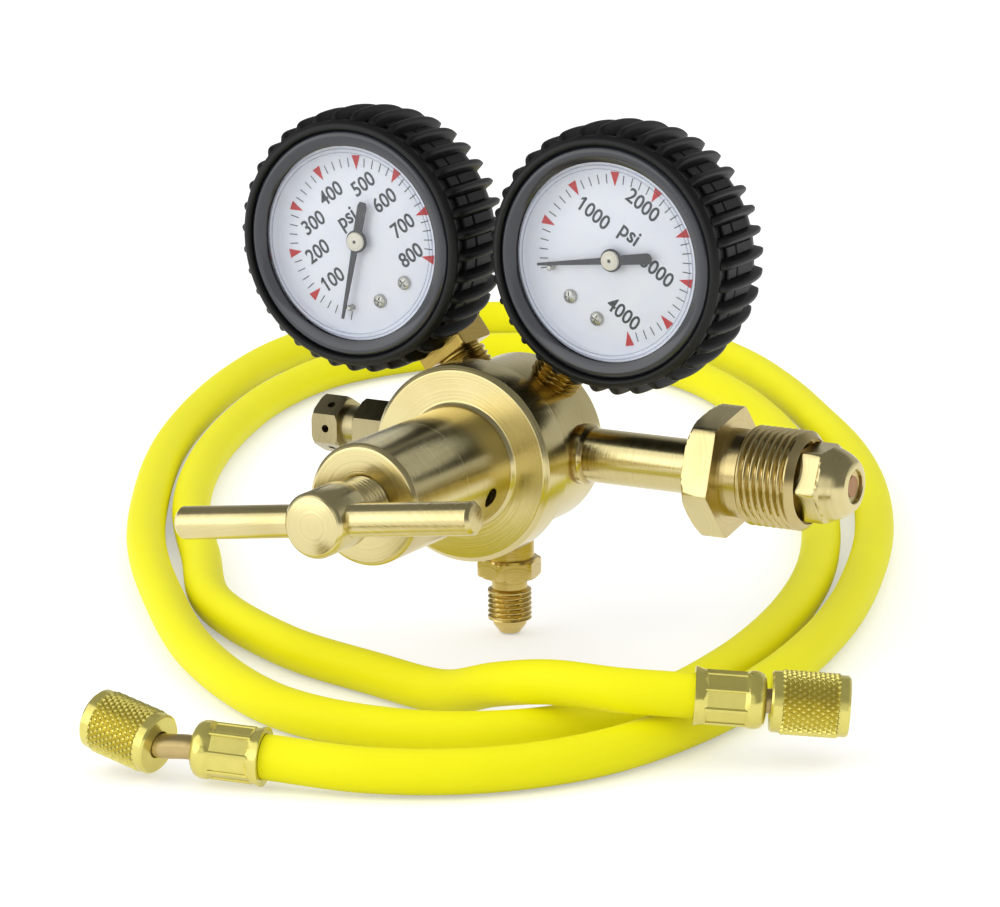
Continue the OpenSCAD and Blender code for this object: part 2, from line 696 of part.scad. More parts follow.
module pointer(side) {
  color(dark) on_gauge(side) {
    rev_y([[0, -3.2], [pointer_cap_r - 0.5, -3.2], [pointer_cap_r, -2.7], [pointer_cap_r, -1.4],
      [0.6, -1.4], [0.6, 4], [1.4, 4], [1.4, 6.4], [0.6, 6.4], [0.6, 9.4], [0, 9.4]]);
    rotate([0, pointer_rest, 0]) translate([0, -1.5, 0]) rotate([90, 0, 0]) linear_extrude(0.5)
      polygon([[-1.1, -pointer_tail], [1.1, -pointer_tail], [1.25, -2], [0.8, 0], [0.25, pointer_len],
        [-0.25, pointer_len], [-0.8, 0], [-1.25, -2]]);
  }
}

module bourdon_tube(side) {
  color(red_steel) on_gauge(side) translate([0, stem_back + 1, 0]) rotate([-90, 0, 0])
    rotate([0, 0, 104]) rotate_extrude(angle = 250) translate([bourdon_r, 0])
      square([1.6, 4.5], center = true);
}

module gauge_movement(side) {
  color(brass) on_gauge(side) difference() {
    union() {
      // front and back plates, with the pillar that stands on the stem
      translate([-6, 2.2, -13]) cube([12, 1, 18]);
      translate([-6, 7.6, -13]) cube([12, 1.2, 18]);
      translate([-4, 2.2, stem_inside - case_r]) cube([8, stem_back + 1.8, case_r - stem_inside - 12.9]);
      translate([-4, 3.1, -13]) cube([8, 4.6, 1.4]);
      for (a = [-16, 16])
        rotate([0, a, 0]) translate([0, dial_t, -16]) rotate([-90, 0, 0]) cylinder(r = 1.7, h = 4);
    }
    rotate([-90, 0, 0]) cylinder(r = 0.6 + fit, h = 10);
    translate([0, 0, -9]) rotate([-90, 0, 0]) cylinder(r = 0.6 + fit, h = 10);
    for (a = [-16, 16])
      rotate([0, a, 0]) translate([0, -1, -16]) rotate([-90, 0, 0]) cylinder(r = 0.8, h = 6);
  }
}

module sector(side) {
  color(brass) on_gauge(side) translate([0, 0, -9]) {
    rev_y([[0, 2.4], [0.6, 2.4], [0.6, 4], [2, 4], [2, 5.6], [0.6, 5.6], [0.6, 8.6], [0, 8.6]]);
    // toothed arc on its arm, standing clear of the pinion
    rotate([0, 27, 0]) translate([0, 5.5, 0]) rotate([90, 0, 0]) linear_extrude(1.2)
      polygon(concat([[-1, 0], [1, 0]], [for (a = [60:6:120]) 7.2 * [cos(a), sin(a)]]));
  }
}

// ---------- gauge boots ----------

// One fin as pairs of [radius, y], root and crest: high behind the front ring, swept back to a proud tip
function fin_line() = [
  [[boot_r - 0.6, -4.6], [boot_r + 0.3 * fin_h, -4.9]],
  [[boot_r - 0.6, -3], [boot_r + 0.7 * fin_h, -3.4]],
  [[boot_r - 0.6, 0], [boot_r + 0.92 * fin_h, -1]],
  [[boot_r - 0.6, 4.5], [boot_r + fin_h, 4]],
  [[boot_r - 0.6, 9], [boot_r + 0.9 * fin_h, 9]],
  [[boot_r - 0.8, boot_back - boot_round - 1], [boot_r + 0.67 * fin_h, boot_back - 6.5]],
  [[boot_r - 0.3 * boot_round, boot_back - boot_round / 2], [boot_r + 0.3 * fin_h, boot_back - 2.5]],
  [[boot_r - 0.6 * boot_round, boot_back - 0.6], [boot_r - 0.25 * fin_h, boot_back + 1.3]]];

// One thin fin, narrower at its crest than at its root, standing along +Z
module fin() {
  line = fin_line();
  last = len(line) - 1;
  points = [for (p = line)
    for (q = [[-fin_w, p[0]], [-fin_crest_w, p[1]], [fin_crest_w, p[1]], [fin_w, p[0]]])
      [q[0] / 2, q[1].y, q[1].x]];
  sides = [for (i = [0:last - 1]) for (k = [0:3])
    let (e = (k + 1) % 4)
    for (f = [[4 * i + k, 4 * i + 4 + e, 4 * i + e], [4 * i + k, 4 * i + 4 + k, 4 * i + 4 + e]]) f];
  ends = [[0, 1, 2], [0, 2, 3], [4 * last, 4 * last + 2, 4 * last + 1],
    [4 * last, 4 * last + 3, 4 * last + 2]];
  polyhedron(points = points, faces = concat(sides, ends));
}

module gauge_boot(side) {
  ring_r = boot_r + boot_ring_h;
  phase = side < 0 ? -1.5 : 3;
  color(rubber) on_gauge(side) difference() {
    union() {
      rev_y([[boot_in_r, -lens_front - 0.9], [boot_in_r + 1.4, -lens_front - 1.6],
        [ring_r - 1.2, -lens_front - 1.3], [ring_r, -lens_front], [ring_r, -lens_front + 0.8],
        [boot_r, -lens_front + 1.8], [boot_r, boot_back - boot_round],
        [boot_r - 0.2 * boot_round, boot_back - 0.45 * boot_round],
        [boot_r - 0.5 * boot_round, boot_back - 0.12 * boot_round], [boot_r - 0.75 * boot_round, boot_back],
        [boot_hole_r, boot_back], [boot_hole_r, case_depth], [case_r, case_depth], [case_r, 2.5],
        [boot_in_r, 2.5]]);
      for (k = [0:fin_count - 1])
        rotate([0, 360 * k / fin_count + phase, 0]) fin();
    }
    // slot for the stem
    translate([-stem_flat / 2 - 0.4, stem_back - stem_flat / 2 - 0.4, -fin_tip_r - 2])
      cube([stem_flat + 0.8, boot_back, fin_tip_r - case_r + 6]);
  }
}

// ---------- hose and its couplings ----------

// Centreline of the hose, its ends square to the ferrules
function hose_line() = let (last = len(route) - 1)
  concat([route[0], route[0] + 2 * hose_start_dir],
    [for (i = [1:hose_rings - 2]) on_curve(route, i * last / (hose_rings - 1))],
    [route[last] - 2 * hose_end_dir, route[last]]);

// Length along a list of points
function run(p) =
  [for (i = 0, s = 0; i < len(p); i = i + 1, s = i < len(p) ? s + norm(p[i] - p[i - 1]) : s) s];

module hose() {
  color(yellow) tube(hose_line(), hose_r, hose_sides);
}

// Crimped ferrule along +Z: flared lip on the hose at 0, round shoulder at the far end
module ferrule() {
  color(gold_brass) {
    rotate_extrude() polygon([[0, 0], [ferrule_r + 0.15, 0], [ferrule_r + 0.15, 1.2],
      [ferrule_r - 0.35, 2.4], [ferrule_r - 0.35, 3], [0, 3]]);
    // eight crimped flats
    rotate([0, 0, 11]) translate([0, 0, 2.9]) cylinder(r = ferrule_r - 0.3, h = ferrule_len - 7.3, $fn = 8);
    rotate_extrude() polygon([[0, ferrule_len - 4.6], [ferrule_r - 0.5, ferrule_len - 4.6],
      [ferrule_r, ferrule_len - 3.8], [ferrule_r, ferrule_len - 1.8], [ferrule_r - 1.8, ferrule_len],
      [0, ferrule_len]]);
  }
}

// Knurled nut along +Z: tube hole at 0, seat, relief groove, threaded mouth at the far end
module coupling_nut() {
  color(gold_brass) rotate_extrude() polygon([[spigot_r + gap, 0], [coupling_r - 0.6, 0],
    [coupling_r, 0.6], [coupling_r, coupling_len - 0.6], [coupling_r - 0.6, coupling_len],
    [coupling_bore_r, coupling_len], [coupling_bore_r, seat + seat_len],
    [coupling_bore_r + 0.4, seat + seat_len], [coupling_bore_r + 0.4, seat + seat_len - 0.7],
    [seat_r, seat + seat_len - 0.7], [seat_r, seat], [spigot_r + gap, seat]]);
}

// Flange of the tube inside the nut
module spigot_flange() {
  translate([0, 0, seat + gap]) cylinder(r = seat_r - gap, h = flange_len);
}

module gasket() {
  color(rubber) rotate_extrude() polygon([[2.2, seat + gap + flange_len],
    [seat_r - gap, seat + gap + flange_len], [seat_r - gap, seat + seat_len - 0.8],
    [2.2, seat + seat_len - 0.8]]);
}

right_base = route[len(route) - 1] + hose_end_dir * (ferrule_len + 1);
left_dome = route[0] - hose_start_dir * ferrule_len;

module ferrule_left() {
  aim(route[0], -hose_start_dir) ferrule();
}

module ferrule_right() {
  aim(route[len(route) - 1], hose_end_dir) ferrule();
}

module spigot_left() {
  color(gold_brass) {
    tube([for (i = [0:6]) on_curve([left_dome, left_dome - hose_start_dir * 2.5,
      left_nut_base, left_nut_base + left_nut_dir * 7], i / 2)], spigot_r, 12);
    aim(left_nut_base, left_nut_dir) spigot_flange();
  }
}

module spigot_right() {
  color(gold_brass) aim(right_base, hose_end_dir) {
    translate([0, 0, -1]) cylinder(r = spigot_r, h = 8);
    spigot_flange();
  }
}

module coupling_nut_left() {
  aim(left_nut_base, left_nut_dir) coupling_nut();
}

module coupling_nut_right() {
  aim(right_base, hose_end_dir) coupling_nut();
}

module gasket_left() {
  aim(left_nut_base, left_nut_dir) gasket();
}

module gasket_right() {
  aim(right_base, hose_end_dir) gasket();
}

module core_depressor() {
  color(gold_brass) aim(left_nut_base, left_nut_dir) translate([0, 0, seat + gap + flange_len])
    cylinder(r = 0.8, h = 1.6);
}

// The hose's length, and its least gap to itself on points 60 mm or more apart along it
centre = [for (u = [0:0.1:len(route) - 1]) on_curve(route, u)];
along = run(centre);
hose_gap = min([for (i = [0:4:len(centre) - 1]) for (j = [i:len(centre) - 1])
  if (along[j] - along[i] > 60) norm(centre[j] - centre[i]) - hose_d]);
echo(hose_length = along[len(along) - 1], hose_gap = hose_gap);

body();
bonnet();
adjusting_screw();
handle_bar();
spring_button();
range_spring();
diaphragm_plate();
diaphragm();
slip_ring();
seat_nozzle();
valve_poppet();
valve_spring();
inlet_nipple();
inlet_nut();
inlet_filter();
outlet_fitting();
relief_body();
relief_cap();
relief_poppet();
relief_spring();
gauge_stem(-1);  // stem_left
gauge_case(-1);  // case_left
gauge_bezel(-1);  // bezel_left
gauge_lens(-1);  // lens_left
gauge_dial(-1);  // dial_left
dial_screws(-1);  // dial_screws_left
pointer(-1);  // pointer_left
bourdon_tube(-1);  // bourdon_left
gauge_movement(-1);  // movement_left
sector(-1);  // sector_left
gauge_boot(-1);  // boot_left
gauge_stem(1);  // stem_right
gauge_case(1);  // case_right
gauge_bezel(1);  // bezel_right
gauge_lens(1);  // lens_right
gauge_dial(1);  // dial_right
dial_screws(1);  // dial_screws_right
pointer(1);  // pointer_right
bourdon_tube(1);  // bourdon_right
gauge_movement(1);  // movement_right
sector(1);  // sector_right
gauge_boot(1);  // boot_right
hose();
ferrule_left();
ferrule_right();
spigot_left();
spigot_right();
coupling_nut_left();
coupling_nut_right();
gasket_left();
gasket_right();
core_depressor();
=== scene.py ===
import json
import math

import bmesh
import bpy
from bpy.props import FloatProperty, FloatVectorProperty, IntProperty, PointerProperty
from mathutils import Matrix, Vector


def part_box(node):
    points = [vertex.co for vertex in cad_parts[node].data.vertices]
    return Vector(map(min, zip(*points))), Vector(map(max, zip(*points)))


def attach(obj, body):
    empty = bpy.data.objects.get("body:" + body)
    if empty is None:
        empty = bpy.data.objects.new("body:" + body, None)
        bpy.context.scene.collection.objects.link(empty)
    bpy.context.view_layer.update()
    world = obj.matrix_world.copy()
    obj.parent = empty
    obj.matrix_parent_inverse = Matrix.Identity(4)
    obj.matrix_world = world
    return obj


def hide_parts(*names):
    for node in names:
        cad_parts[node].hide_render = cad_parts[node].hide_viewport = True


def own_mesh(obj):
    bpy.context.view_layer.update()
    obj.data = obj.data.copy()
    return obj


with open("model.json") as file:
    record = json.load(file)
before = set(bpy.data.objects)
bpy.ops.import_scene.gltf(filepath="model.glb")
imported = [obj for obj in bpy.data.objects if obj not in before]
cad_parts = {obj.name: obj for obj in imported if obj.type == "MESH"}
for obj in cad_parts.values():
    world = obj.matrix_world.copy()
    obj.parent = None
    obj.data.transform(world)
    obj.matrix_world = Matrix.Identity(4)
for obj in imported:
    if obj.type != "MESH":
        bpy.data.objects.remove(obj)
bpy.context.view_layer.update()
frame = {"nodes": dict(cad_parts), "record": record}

bl_info = {
    "name": "Gas regulator set",
    "version": (1, 0, 0),
    "blender": (4, 5, 0),
    "location": "View3D > Sidebar > Regulator",
    "description": "Dresses a cylinder pressure regulator, its two gauges and its charging hose",
    "category": "Add Mesh",
}

MM = 0.001
SIDES = ("left", "right")


# ---------- node trees ----------

class Value:
    """A node socket with arithmetic, so that a formula reads as one in any node tree."""

    def __init__(self, tree, socket):
        self.tree = tree
        self.socket = socket

    def maths(self, operation, *values):
        return out(add(self.tree, "ShaderNodeMath", dict(enumerate(values)), operation=operation))

    def __add__(self, other):
        return self.maths("ADD", self, other)

    def __radd__(self, other):
        return self.maths("ADD", other, self)

    def __sub__(self, other):
        return self.maths("SUBTRACT", self, other)

    def __rsub__(self, other):
        return self.maths("SUBTRACT", other, self)

    def __mul__(self, other):
        return self.maths("MULTIPLY", self, other)

    def __rmul__(self, other):
        return self.maths("MULTIPLY", other, self)

    def __truediv__(self, other):
        return self.maths("DIVIDE", self, other)

    def __rtruediv__(self, other):
        return self.maths("DIVIDE", other, self)

    def __abs__(self):
        return self.maths("ABSOLUTE", self)

    def sqrt(self):
        return self.maths("SQRT", self)

    def fraction(self):
        return self.maths("FRACT", self)

    def floor(self):
        return self.maths("FLOOR", self)

    def below(self, other):
        return self.maths("MINIMUM", self, other)

    def above(self, other):
        return self.maths("MAXIMUM", self, other)

    def angle(self, other):
        return self.maths("ARCTAN2", self, other)

    def step(self, low, high):
        """0 below low, 1 above high, smooth between."""
        ends = {"Value": self, "From Min": low, "From Max": high}
        return out(add(self.tree, "ShaderNodeMapRange", ends, interpolation_type="SMOOTHSTEP"), "Result")


def plug(tree, value, socket):
    """Links a Value, or sets a constant."""
    if isinstance(value, Value):
        tree.links.new(value.socket, socket)
    else:
        socket.default_value = value


def add(tree, kind, inputs=None, **settings):
    """A new node with its settings, and with inputs given by name or place."""
    node = tree.nodes.new(kind)
    for name, setting in settings.items():
        setattr(node, name, setting)
    for name, value in (inputs or {}).items():
        plug(tree, value, node.inputs[name])
    return node


def out(node, name=0):
    """An output of a node as a Value."""
    return Value(node.id_data, node.outputs[name])


def split(tree, vector):
    """The three parts of a vector."""
    node = add(tree, "ShaderNodeSeparateXYZ", {0: vector})
    return [out(node, place) for place in range(3)]


def join(tree, x, y, z):
    """A vector from its three parts."""
    return out(add(tree, "ShaderNodeCombineXYZ", {0: x, 1: y, 2: z}))


# ---------- materials ----------

class Paint:
    """One material in the making: its tree, its coordinates and its patterns."""

    def __init__(self, name):
        self.material = bpy.data.materials.new(name)
        self.material.use_nodes = True
        self.tree = self.material.node_tree
        self.tree.nodes.clear()
        self.place = out(add(self.tree, "ShaderNodeTexCoord"), "Object")

    def noise(self, scale, detail=2.0):
        """Cloudy noise in space."""
        return out(add(self.tree, "ShaderNodeTexNoise",
                       {"Vector": self.place, "Scale": scale, "Detail": detail}))

    def lines(self, value, scale, detail=3.0):
        """Noise along one value, which makes lines."""
        return out(add(self.tree, "ShaderNodeTexNoise", {"W": value, "Scale": scale, "Detail": detail},
                       noise_dimensions="1D"))

    def mix(self, factor, first, second):
        """Blends two colours."""
        return out(add(self.tree, "ShaderNodeMix", {"Factor": factor, "A": first, "B": second},
                       data_type="RGBA"), "Result")

    def bump(self, height, strength, distance):
        """A relief for a shader's Normal."""
        return out(add(self.tree, "ShaderNodeBump",
                       {"Height": height, "Strength": strength, "Distance": distance}))

    def attribute(self, name):
        """A value that the mesh carries at its points."""
        return out(add(self.tree, "ShaderNodeAttribute", attribute_name=name), "Fac")

    def finish(self, shader):
        """Ends the tree in a shader and returns the material."""
        add(self.tree, "ShaderNodeOutputMaterial", {"Surface": shader})
        return self.material

    def principled(self, **inputs):
        """Ends the tree in a Principled shader with the given inputs."""
        named = {name.replace("_", " "): value for name, value in inputs.items()}
        return self.finish(out(add(self.tree, "ShaderNodeBsdfPrincipled", named)))


def rgb(red, green, blue):
    """A colour that covers fully."""
    return (red, green, blue, 1.0)


def scaled(colour, factor):
    """A darker or lighter colour."""
    return rgb(*(min(1.0, part * factor) for part in colour[:3]))


def brass(name, direction, tone=rgb(0.70, 0.605, 0.31), shade=rgb(0.58, 0.485, 0.22), rough=0.12):
    """Turned brass: fine tool lines round an axis, a slight change of tone, and brown where the mesh's groove
    value is high: painted shade in the roots of cut threads, and the bands that stained() adds.
    """
    paint = Paint(name)
    x, y, z = split(paint.tree, paint.place)
    x, y, z = x - AXIS[0], y - AXIS[1], z - AXIS[2]
    axis = Vector(direction).normalized()
    along = x * axis[0] + y * axis[1] + z * axis[2]
    radial = (x * x + y * y + z * z - along * along).above(0.0).sqrt()
    feed = (along + radial) * (1 / MM)
    fine = paint.lines(feed, 7.0)
    broad = paint.lines(feed, 0.6)
    rings = paint.lines(feed, 1.6).step(0.35, 0.7)
    stain = paint.noise(45.0, 3.0)
    tint = paint.mix(stain.step(0.35, 0.75) * 0.8 + rings * 0.2, tone, shade)
    # Painted shade: brown is mixed in by the groove value, deep in the roots of cut threads, and in the bands
    # that stained() adds.
    groove_shade_and_stain_brown, groove = rgb(0.30, 0.17, 0.03), paint.attribute("groove")
    return paint.principled(
        Base_Color=paint.mix((groove * 1.6).below(1.0), tint, groove_shade_and_stain_brown), Metallic=1.0,
        Roughness=rough + 0.05 * fine + 0.06 * broad + 0.06 * rings + 0.04 * stain,
        Normal=paint.bump(fine + broad + rings, 0.2, 0.04 * MM))


def plain_metal(name, tone, rough, grain=300.0, metal=1.0):
    """Metal with a fine grain."""
    paint = Paint(name)
    grit = paint.noise(grain, 3.0)
    return paint.principled(Base_Color=paint.mix(grit, tone, scaled(tone, 0.82)), Metallic=metal,
                            Roughness=rough + 0.12 * grit)


def rubber(name, tone, light, rough, grain, depth, sheen=0.5):
    """Moulded rubber: a fine skin, lighter where it is worn."""
    paint = Paint(name)
    skin = paint.noise(grain, 3.0)
    cloud = paint.noise(40.0)
    return paint.principled(
        Base_Color=paint.mix(cloud.step(0.3, 0.8) * 0.6 + skin * 0.3, tone, light),
        Roughness=rough + 0.12 * cloud + 0.05 * skin, Normal=paint.bump(skin, depth, 0.1 * MM),
        Specular_IOR_Level=sheen)


def enamel(name, tone, rough, coat=0.0):
    """Smooth paint with faint flecks."""
    paint = Paint(name)
    fleck = paint.noise(220.0)
    return paint.principled(Base_Color=paint.mix(fleck, tone, scaled(tone, 1.12)),
                            Roughness=rough + 0.06 * fleck, Coat_Weight=coat, Coat_Roughness=0.06)


def clear_plastic(name, tint=rgb(0.99, 0.995, 1.0)):
    """A clear lens: it lets light straight through and reflects at its edges."""
    paint = Paint(name)
    bend = out(add(paint.tree, "ShaderNodeFresnel", {"IOR": 1.45}))
    haze = paint.noise(90.0)
    through = out(add(paint.tree, "ShaderNodeBsdfTransparent", {"Color": tint}))
    gloss = out(add(paint.tree, "ShaderNodeBsdfGlossy", {"Roughness": 0.02 + 0.03 * haze}))
    return paint.finish(out(add(paint.tree, "ShaderNodeMixShader",
                                {0: bend * 0.5, 1: through, 2: gloss})))


# ---------- meshes ----------

def frame_of(origin, forward, up=(0, 0, 1)):
    """Millimetres in a local frame whose Z is forward, as metres in the row frame."""
    z = Vector(forward).normalized()
    x = Vector(up).cross(z).normalized()
    turn = Matrix((x, z.cross(x), z)).transposed().to_4x4()
    return Matrix.Translation(Vector(origin)) @ turn @ Matrix.Scale(MM, 4)


def in_scene(name, data):
    """A new object in the scene."""
    thing = bpy.data.objects.new(name, data)
    bpy.context.scene.collection.objects.link(thing)
    return thing


def piece(name, mesh, place, body, node=None, paint=None, crease=28.0):
    """A finished piece: its place is in its mesh, it rides on a body, and it may stand for a node."""
    mesh.transform(place)
    mesh.name = name
    thing = in_scene(name, mesh)
    if paint:
        mesh.materials.clear()
        mesh.materials.append(paint)
    mesh.polygons.foreach_set("use_smooth", [True] * len(mesh.polygons))
    mesh.set_sharp_from_angle(angle=math.radians(crease))
    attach(thing, body)
    if node:
        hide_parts(node)
    return thing


def evaluated(thing):
    """The plain mesh that an object makes with its modifiers."""
    bpy.context.view_layer.update()
    graph = bpy.context.evaluated_depsgraph_get()
    return bpy.data.meshes.new_from_object(thing.evaluated_get(graph))


def mesh_of(name, verts, faces, edges=()):
    """A new mesh from lists."""
    mesh = bpy.data.meshes.new(name)
    mesh.from_pydata(verts, edges, faces)
    return mesh


def merged(name, *meshes):
    """Several meshes as one, without their materials."""
    work = bmesh.new()
    for mesh in meshes:
        work.from_mesh(mesh)
    whole = bpy.data.meshes.new(name)
    work.to_mesh(whole)
    work.free()
    return whole


def lifted(mesh, height):
    """The mesh, moved along Z."""
    mesh.transform(Matrix.Translation((0, 0, height)))
    return mesh


def radius_at(point, angle, sides, turn):
    """A profile point's radius: round, or cut by flats where the point gives their distance."""
    if len(point) < 3 or not point[2]:
        return point[0]
    wedge = 2 * math.pi / sides
    inside = (angle - turn) % wedge - wedge / 2
    return min(point[0], point[2] / math.cos(inside))


def lathe(points, segments=96, sides=6, turn=0.0, closed=False):
    """A turned mesh about Z. A point is (radius, z) or (radius, z, distance of the flats)."""
    verts, rings = [], []
    for point in points:
        if point[0] < 1e-6:
            rings.append([len(verts)])
            verts.append((0, 0, point[1]))
            continue
        rings.append(list(range(len(verts), len(verts) + segments)))
        for step in range(segments):
            angle = 2 * math.pi * step / segments
            radius = radius_at(point, angle, sides, turn)
            verts.append((radius * math.cos(angle), radius * math.sin(angle), point[1]))
    faces = []
    pairs = list(zip(rings, rings[1:]))
    if closed:
        pairs.append((rings[-1], rings[0]))
    for low, high in pairs:
        for step in range(segments):
            after = (step + 1) % segments
            if len(low) == 1 and len(high) > 1:
                faces.append((low[0], high[after], high[step]))
            elif len(high) == 1 and len(low) > 1:
                faces.append((low[step], low[after], high[0]))
            elif len(low) > 1:
                faces.append((low[step], low[after], high[after], high[step]))
    return mesh_of("turned", verts, faces)


def soften(points, radius, steps=3):
    """Rounds the inner corners of a profile."""
    rounded = [points[0]]
    for before, here, after in zip(points, points[1:], points[2:]):
        a, b, c = Vector(before[:2]), Vector(here[:2]), Vector(after[:2])
        reach = min(radius, (a - b).length * 0.45, (c - b).length * 0.45)
        if reach < 1e-4:
            rounded.append(here)
            continue
        start, end = b + (a - b).normalized() * reach, b + (c - b).normalized() * reach
        for step in range(steps + 1):
            t = step / steps
            p = start * (1 - t) ** 2 + b * 2 * t * (1 - t) + end * t * t
            rounded.append((p.x, p.y) + tuple(here[2:]))
    rounded.append(points[-1])
    return rounded


def sealed(mesh):
    """Turns all faces of a closed mesh outwards."""
    work = bmesh.new()
    work.from_mesh(mesh)
    bmesh.ops.recalc_face_normals(work, faces=work.faces)
    work.to_mesh(mesh)
    work.free()
    return mesh


def cut(mesh, *tools):
    """The mesh with the tools taken out of it."""
    block = in_scene("block", mesh)
    cutters = [in_scene("cutter", tool) for tool in tools]
    for cutter in cutters:
        modifier = block.modifiers.new("Cut", "BOOLEAN")
        modifier.operation = "DIFFERENCE"
        modifier.solver = "EXACT"
        modifier.object = cutter
    result = evaluated(block)
    for thing in cutters + [block]:
        bpy.data.objects.remove(thing)
    return result


def stations(low, high, gap):
    """Evenly spaced values from low to high."""
    count = max(1, round((high - low) / gap))
    return [low + (high - low) * step / count for step in range(count + 1)]


def prism(outline, thickness):
    """A flat outline in XY with a thickness along Z, from 0 up."""
    n = len(outline)
    verts = [(x, y, 0) for x, y in outline] + [(x, y, thickness) for x, y in outline]
    faces = [tuple(range(n - 1, -1, -1)), tuple(range(n, 2 * n))]
    faces += [(k, (k + 1) % n, n + (k + 1) % n, n + k) for k in range(n)]
    return mesh_of("plate", verts, faces)


# ---------- geometry trees ----------

def new_tree(name, inputs):
    """A geometry tree with named inputs. Returns the tree and its inputs as Values."""
    tree = bpy.data.node_groups.new(name, "GeometryNodeTree")
    tree.interface.new_socket("Geometry", in_out="INPUT", socket_type="NodeSocketGeometry")
    for label, kind in inputs:
        tree.interface.new_socket(label, in_out="INPUT", socket_type="NodeSocket" + kind)
    tree.interface.new_socket("Geometry", in_out="OUTPUT", socket_type="NodeSocketGeometry")
    source = tree.nodes.new("NodeGroupInput")
    return tree, {socket.name: Value(tree, socket) for socket in source.outputs if socket.name}


def close_tree(tree, geometry, material):
    """Ends a tree in Realize Instances and Set Material."""
    real = out(add(tree, "GeometryNodeRealizeInstances", {"Geometry": geometry}))
    painted = out(add(tree, "GeometryNodeSetMaterial", {"Geometry": real, "Material": material}))
    add(tree, "NodeGroupOutput", {0: painted})
    return tree


def ring_tree():
    """Copies of a unit piece round Z, in rows along Z, each row turned by a share of a step."""
    tree, give = new_tree("Ring of copies", [
        ("Count", "Int"), ("Rows", "Int"), ("Start", "Float"), ("Step", "Float"), ("Row Gap", "Float"),
        ("Stagger", "Float"), ("Material", "Material")])
    index = out(add(tree, "GeometryNodeInputIndex"))
    row = (index / give["Count"]).floor()
    place = index - row * give["Count"]
    angle = give["Start"] + (place + row * give["Stagger"]) * give["Step"]
    points = out(add(tree, "GeometryNodePoints", {
        "Count": give["Count"] * give["Rows"], "Position": join(tree, 0.0, 0.0, row * give["Row Gap"])}))
    turn = out(add(tree, "FunctionNodeEulerToRotation", {0: join(tree, 0.0, 0.0, angle)}))
    copies = out(add(tree, "GeometryNodeInstanceOnPoints", {
        "Points": points, "Instance": give["Geometry"], "Rotation": turn}))
    return close_tree(tree, copies, give["Material"])


def thread_tree():
    """Cuts a screw thread into a turned piece, from one station to another."""
    tree, give = new_tree("Screw thread", [
        ("Pitch", "Float"), ("Depth", "Float"), ("From", "Float"), ("To", "Float"), ("Least Radius", "Float"),
        ("Material", "Material")])
    x, y, z = split(tree, out(add(tree, "GeometryNodeInputPosition")))
    radius = (x * x + y * y).sqrt()
    phase = (z / give["Pitch"] - y.angle(x) / (2 * math.pi)).fraction()
    groove = (1.0 - abs(phase * 2.0 - 1.0) * 1.25).above(0.0)
    run = give["Pitch"] * 0.6
    inside = z.step(give["From"], give["From"] + run) * (1.0 - z.step(give["To"] - run, give["To"]))
    outer = radius.step(give["Least Radius"] - 0.01, give["Least Radius"])
    carved = groove * inside * outer
    scale = 1.0 - carved * give["Depth"] / radius.above(0.01)
    moved = out(add(tree, "GeometryNodeSetPosition", {
        "Geometry": give["Geometry"], "Position": join(tree, x * scale, y * scale, z)}))
    # The cut's depth is kept as the groove value, where the brass paint puts painted shade.
    kept = add(tree, "GeometryNodeStoreNamedAttribute",
               {"Geometry": moved, "Name": "groove", "Value": carved}, data_type="FLOAT", domain="POINT")
    return close_tree(tree, out(kept), give["Material"])


def tube_tree():
    """A round tube along the edges of a path."""
    tree, give = new_tree("Tube on a path", [
        ("Radius", "Float"), ("Sides", "Int"), ("Material", "Material")])
    curve = out(add(tree, "GeometryNodeMeshToCurve", {"Mesh": give["Geometry"]}))
    circle = out(add(tree, "GeometryNodeCurvePrimitiveCircle", {
        "Resolution": give["Sides"], "Radius": give["Radius"]}, mode="RADIUS"), "Curve")
    tube = out(add(tree, "GeometryNodeCurveToMesh", {
        "Curve": curve, "Profile Curve": circle, "Fill Caps": True}))
    return close_tree(tree, tube, give["Material"])


BUILDERS = {"ring": ring_tree, "thread": thread_tree, "tube": tube_tree}
TREES = {}


def grow(mesh, kind, **inputs):
    """Runs a tree on a mesh and returns the plain mesh that comes out."""
    if kind not in TREES:
        TREES[kind] = BUILDERS[kind]()
    seed = in_scene("seed", mesh)
    modifier = seed.modifiers.new("Grow", "NODES")
    modifier.node_group = TREES[kind]
    named = {name.replace("_", " "): value for name, value in inputs.items()}
    for item in TREES[kind].interface.items_tree:
        if item.in_out == "INPUT" and item.name in named:
            modifier[item.identifier] = named[item.name]
    result = evaluated(seed)
    seed.modifiers.remove(modifier)
    bpy.data.objects.remove(seed)
    return result


def ring_of(mesh, paint, count, start, step, rows=1, row_gap=0.0, stagger=0.0):
    """Copies of a mesh round Z."""
    return grow(mesh, "ring", Count=count, Rows=rows, Start=start, Step=step, Row_Gap=row_gap,
                Stagger=stagger, Material=paint)


def tube_along(line, radius, sides, paint):
    """A round tube along a list of points."""
    path = mesh_of("path", line, [], [(k, k + 1) for k in range(len(line) - 1)])
    return grow(path, "tube", Radius=radius, Sides=sides, Material=paint)


def threaded(points, start, end, pitch, depth, major, paint, segments, sides=6, turn=0.0):
    """A turned piece with a thread from start to end, where its profile is one straight run."""
    full = []
    for here, after in zip(points, points[1:]):
        full.append(here)
        if here[1] <= start + 1e-6 and after[1] >= end - 1e-6:
            full += [(here[0], z) for z in stations(start, end, pitch / 8)[1:-1]]
    full.append(points[-1])
    return grow(lathe(full, segments, sides, turn), "thread", Pitch=pitch, Depth=depth, From=start,
                To=end, Least_Radius=major - 0.05, Material=paint)


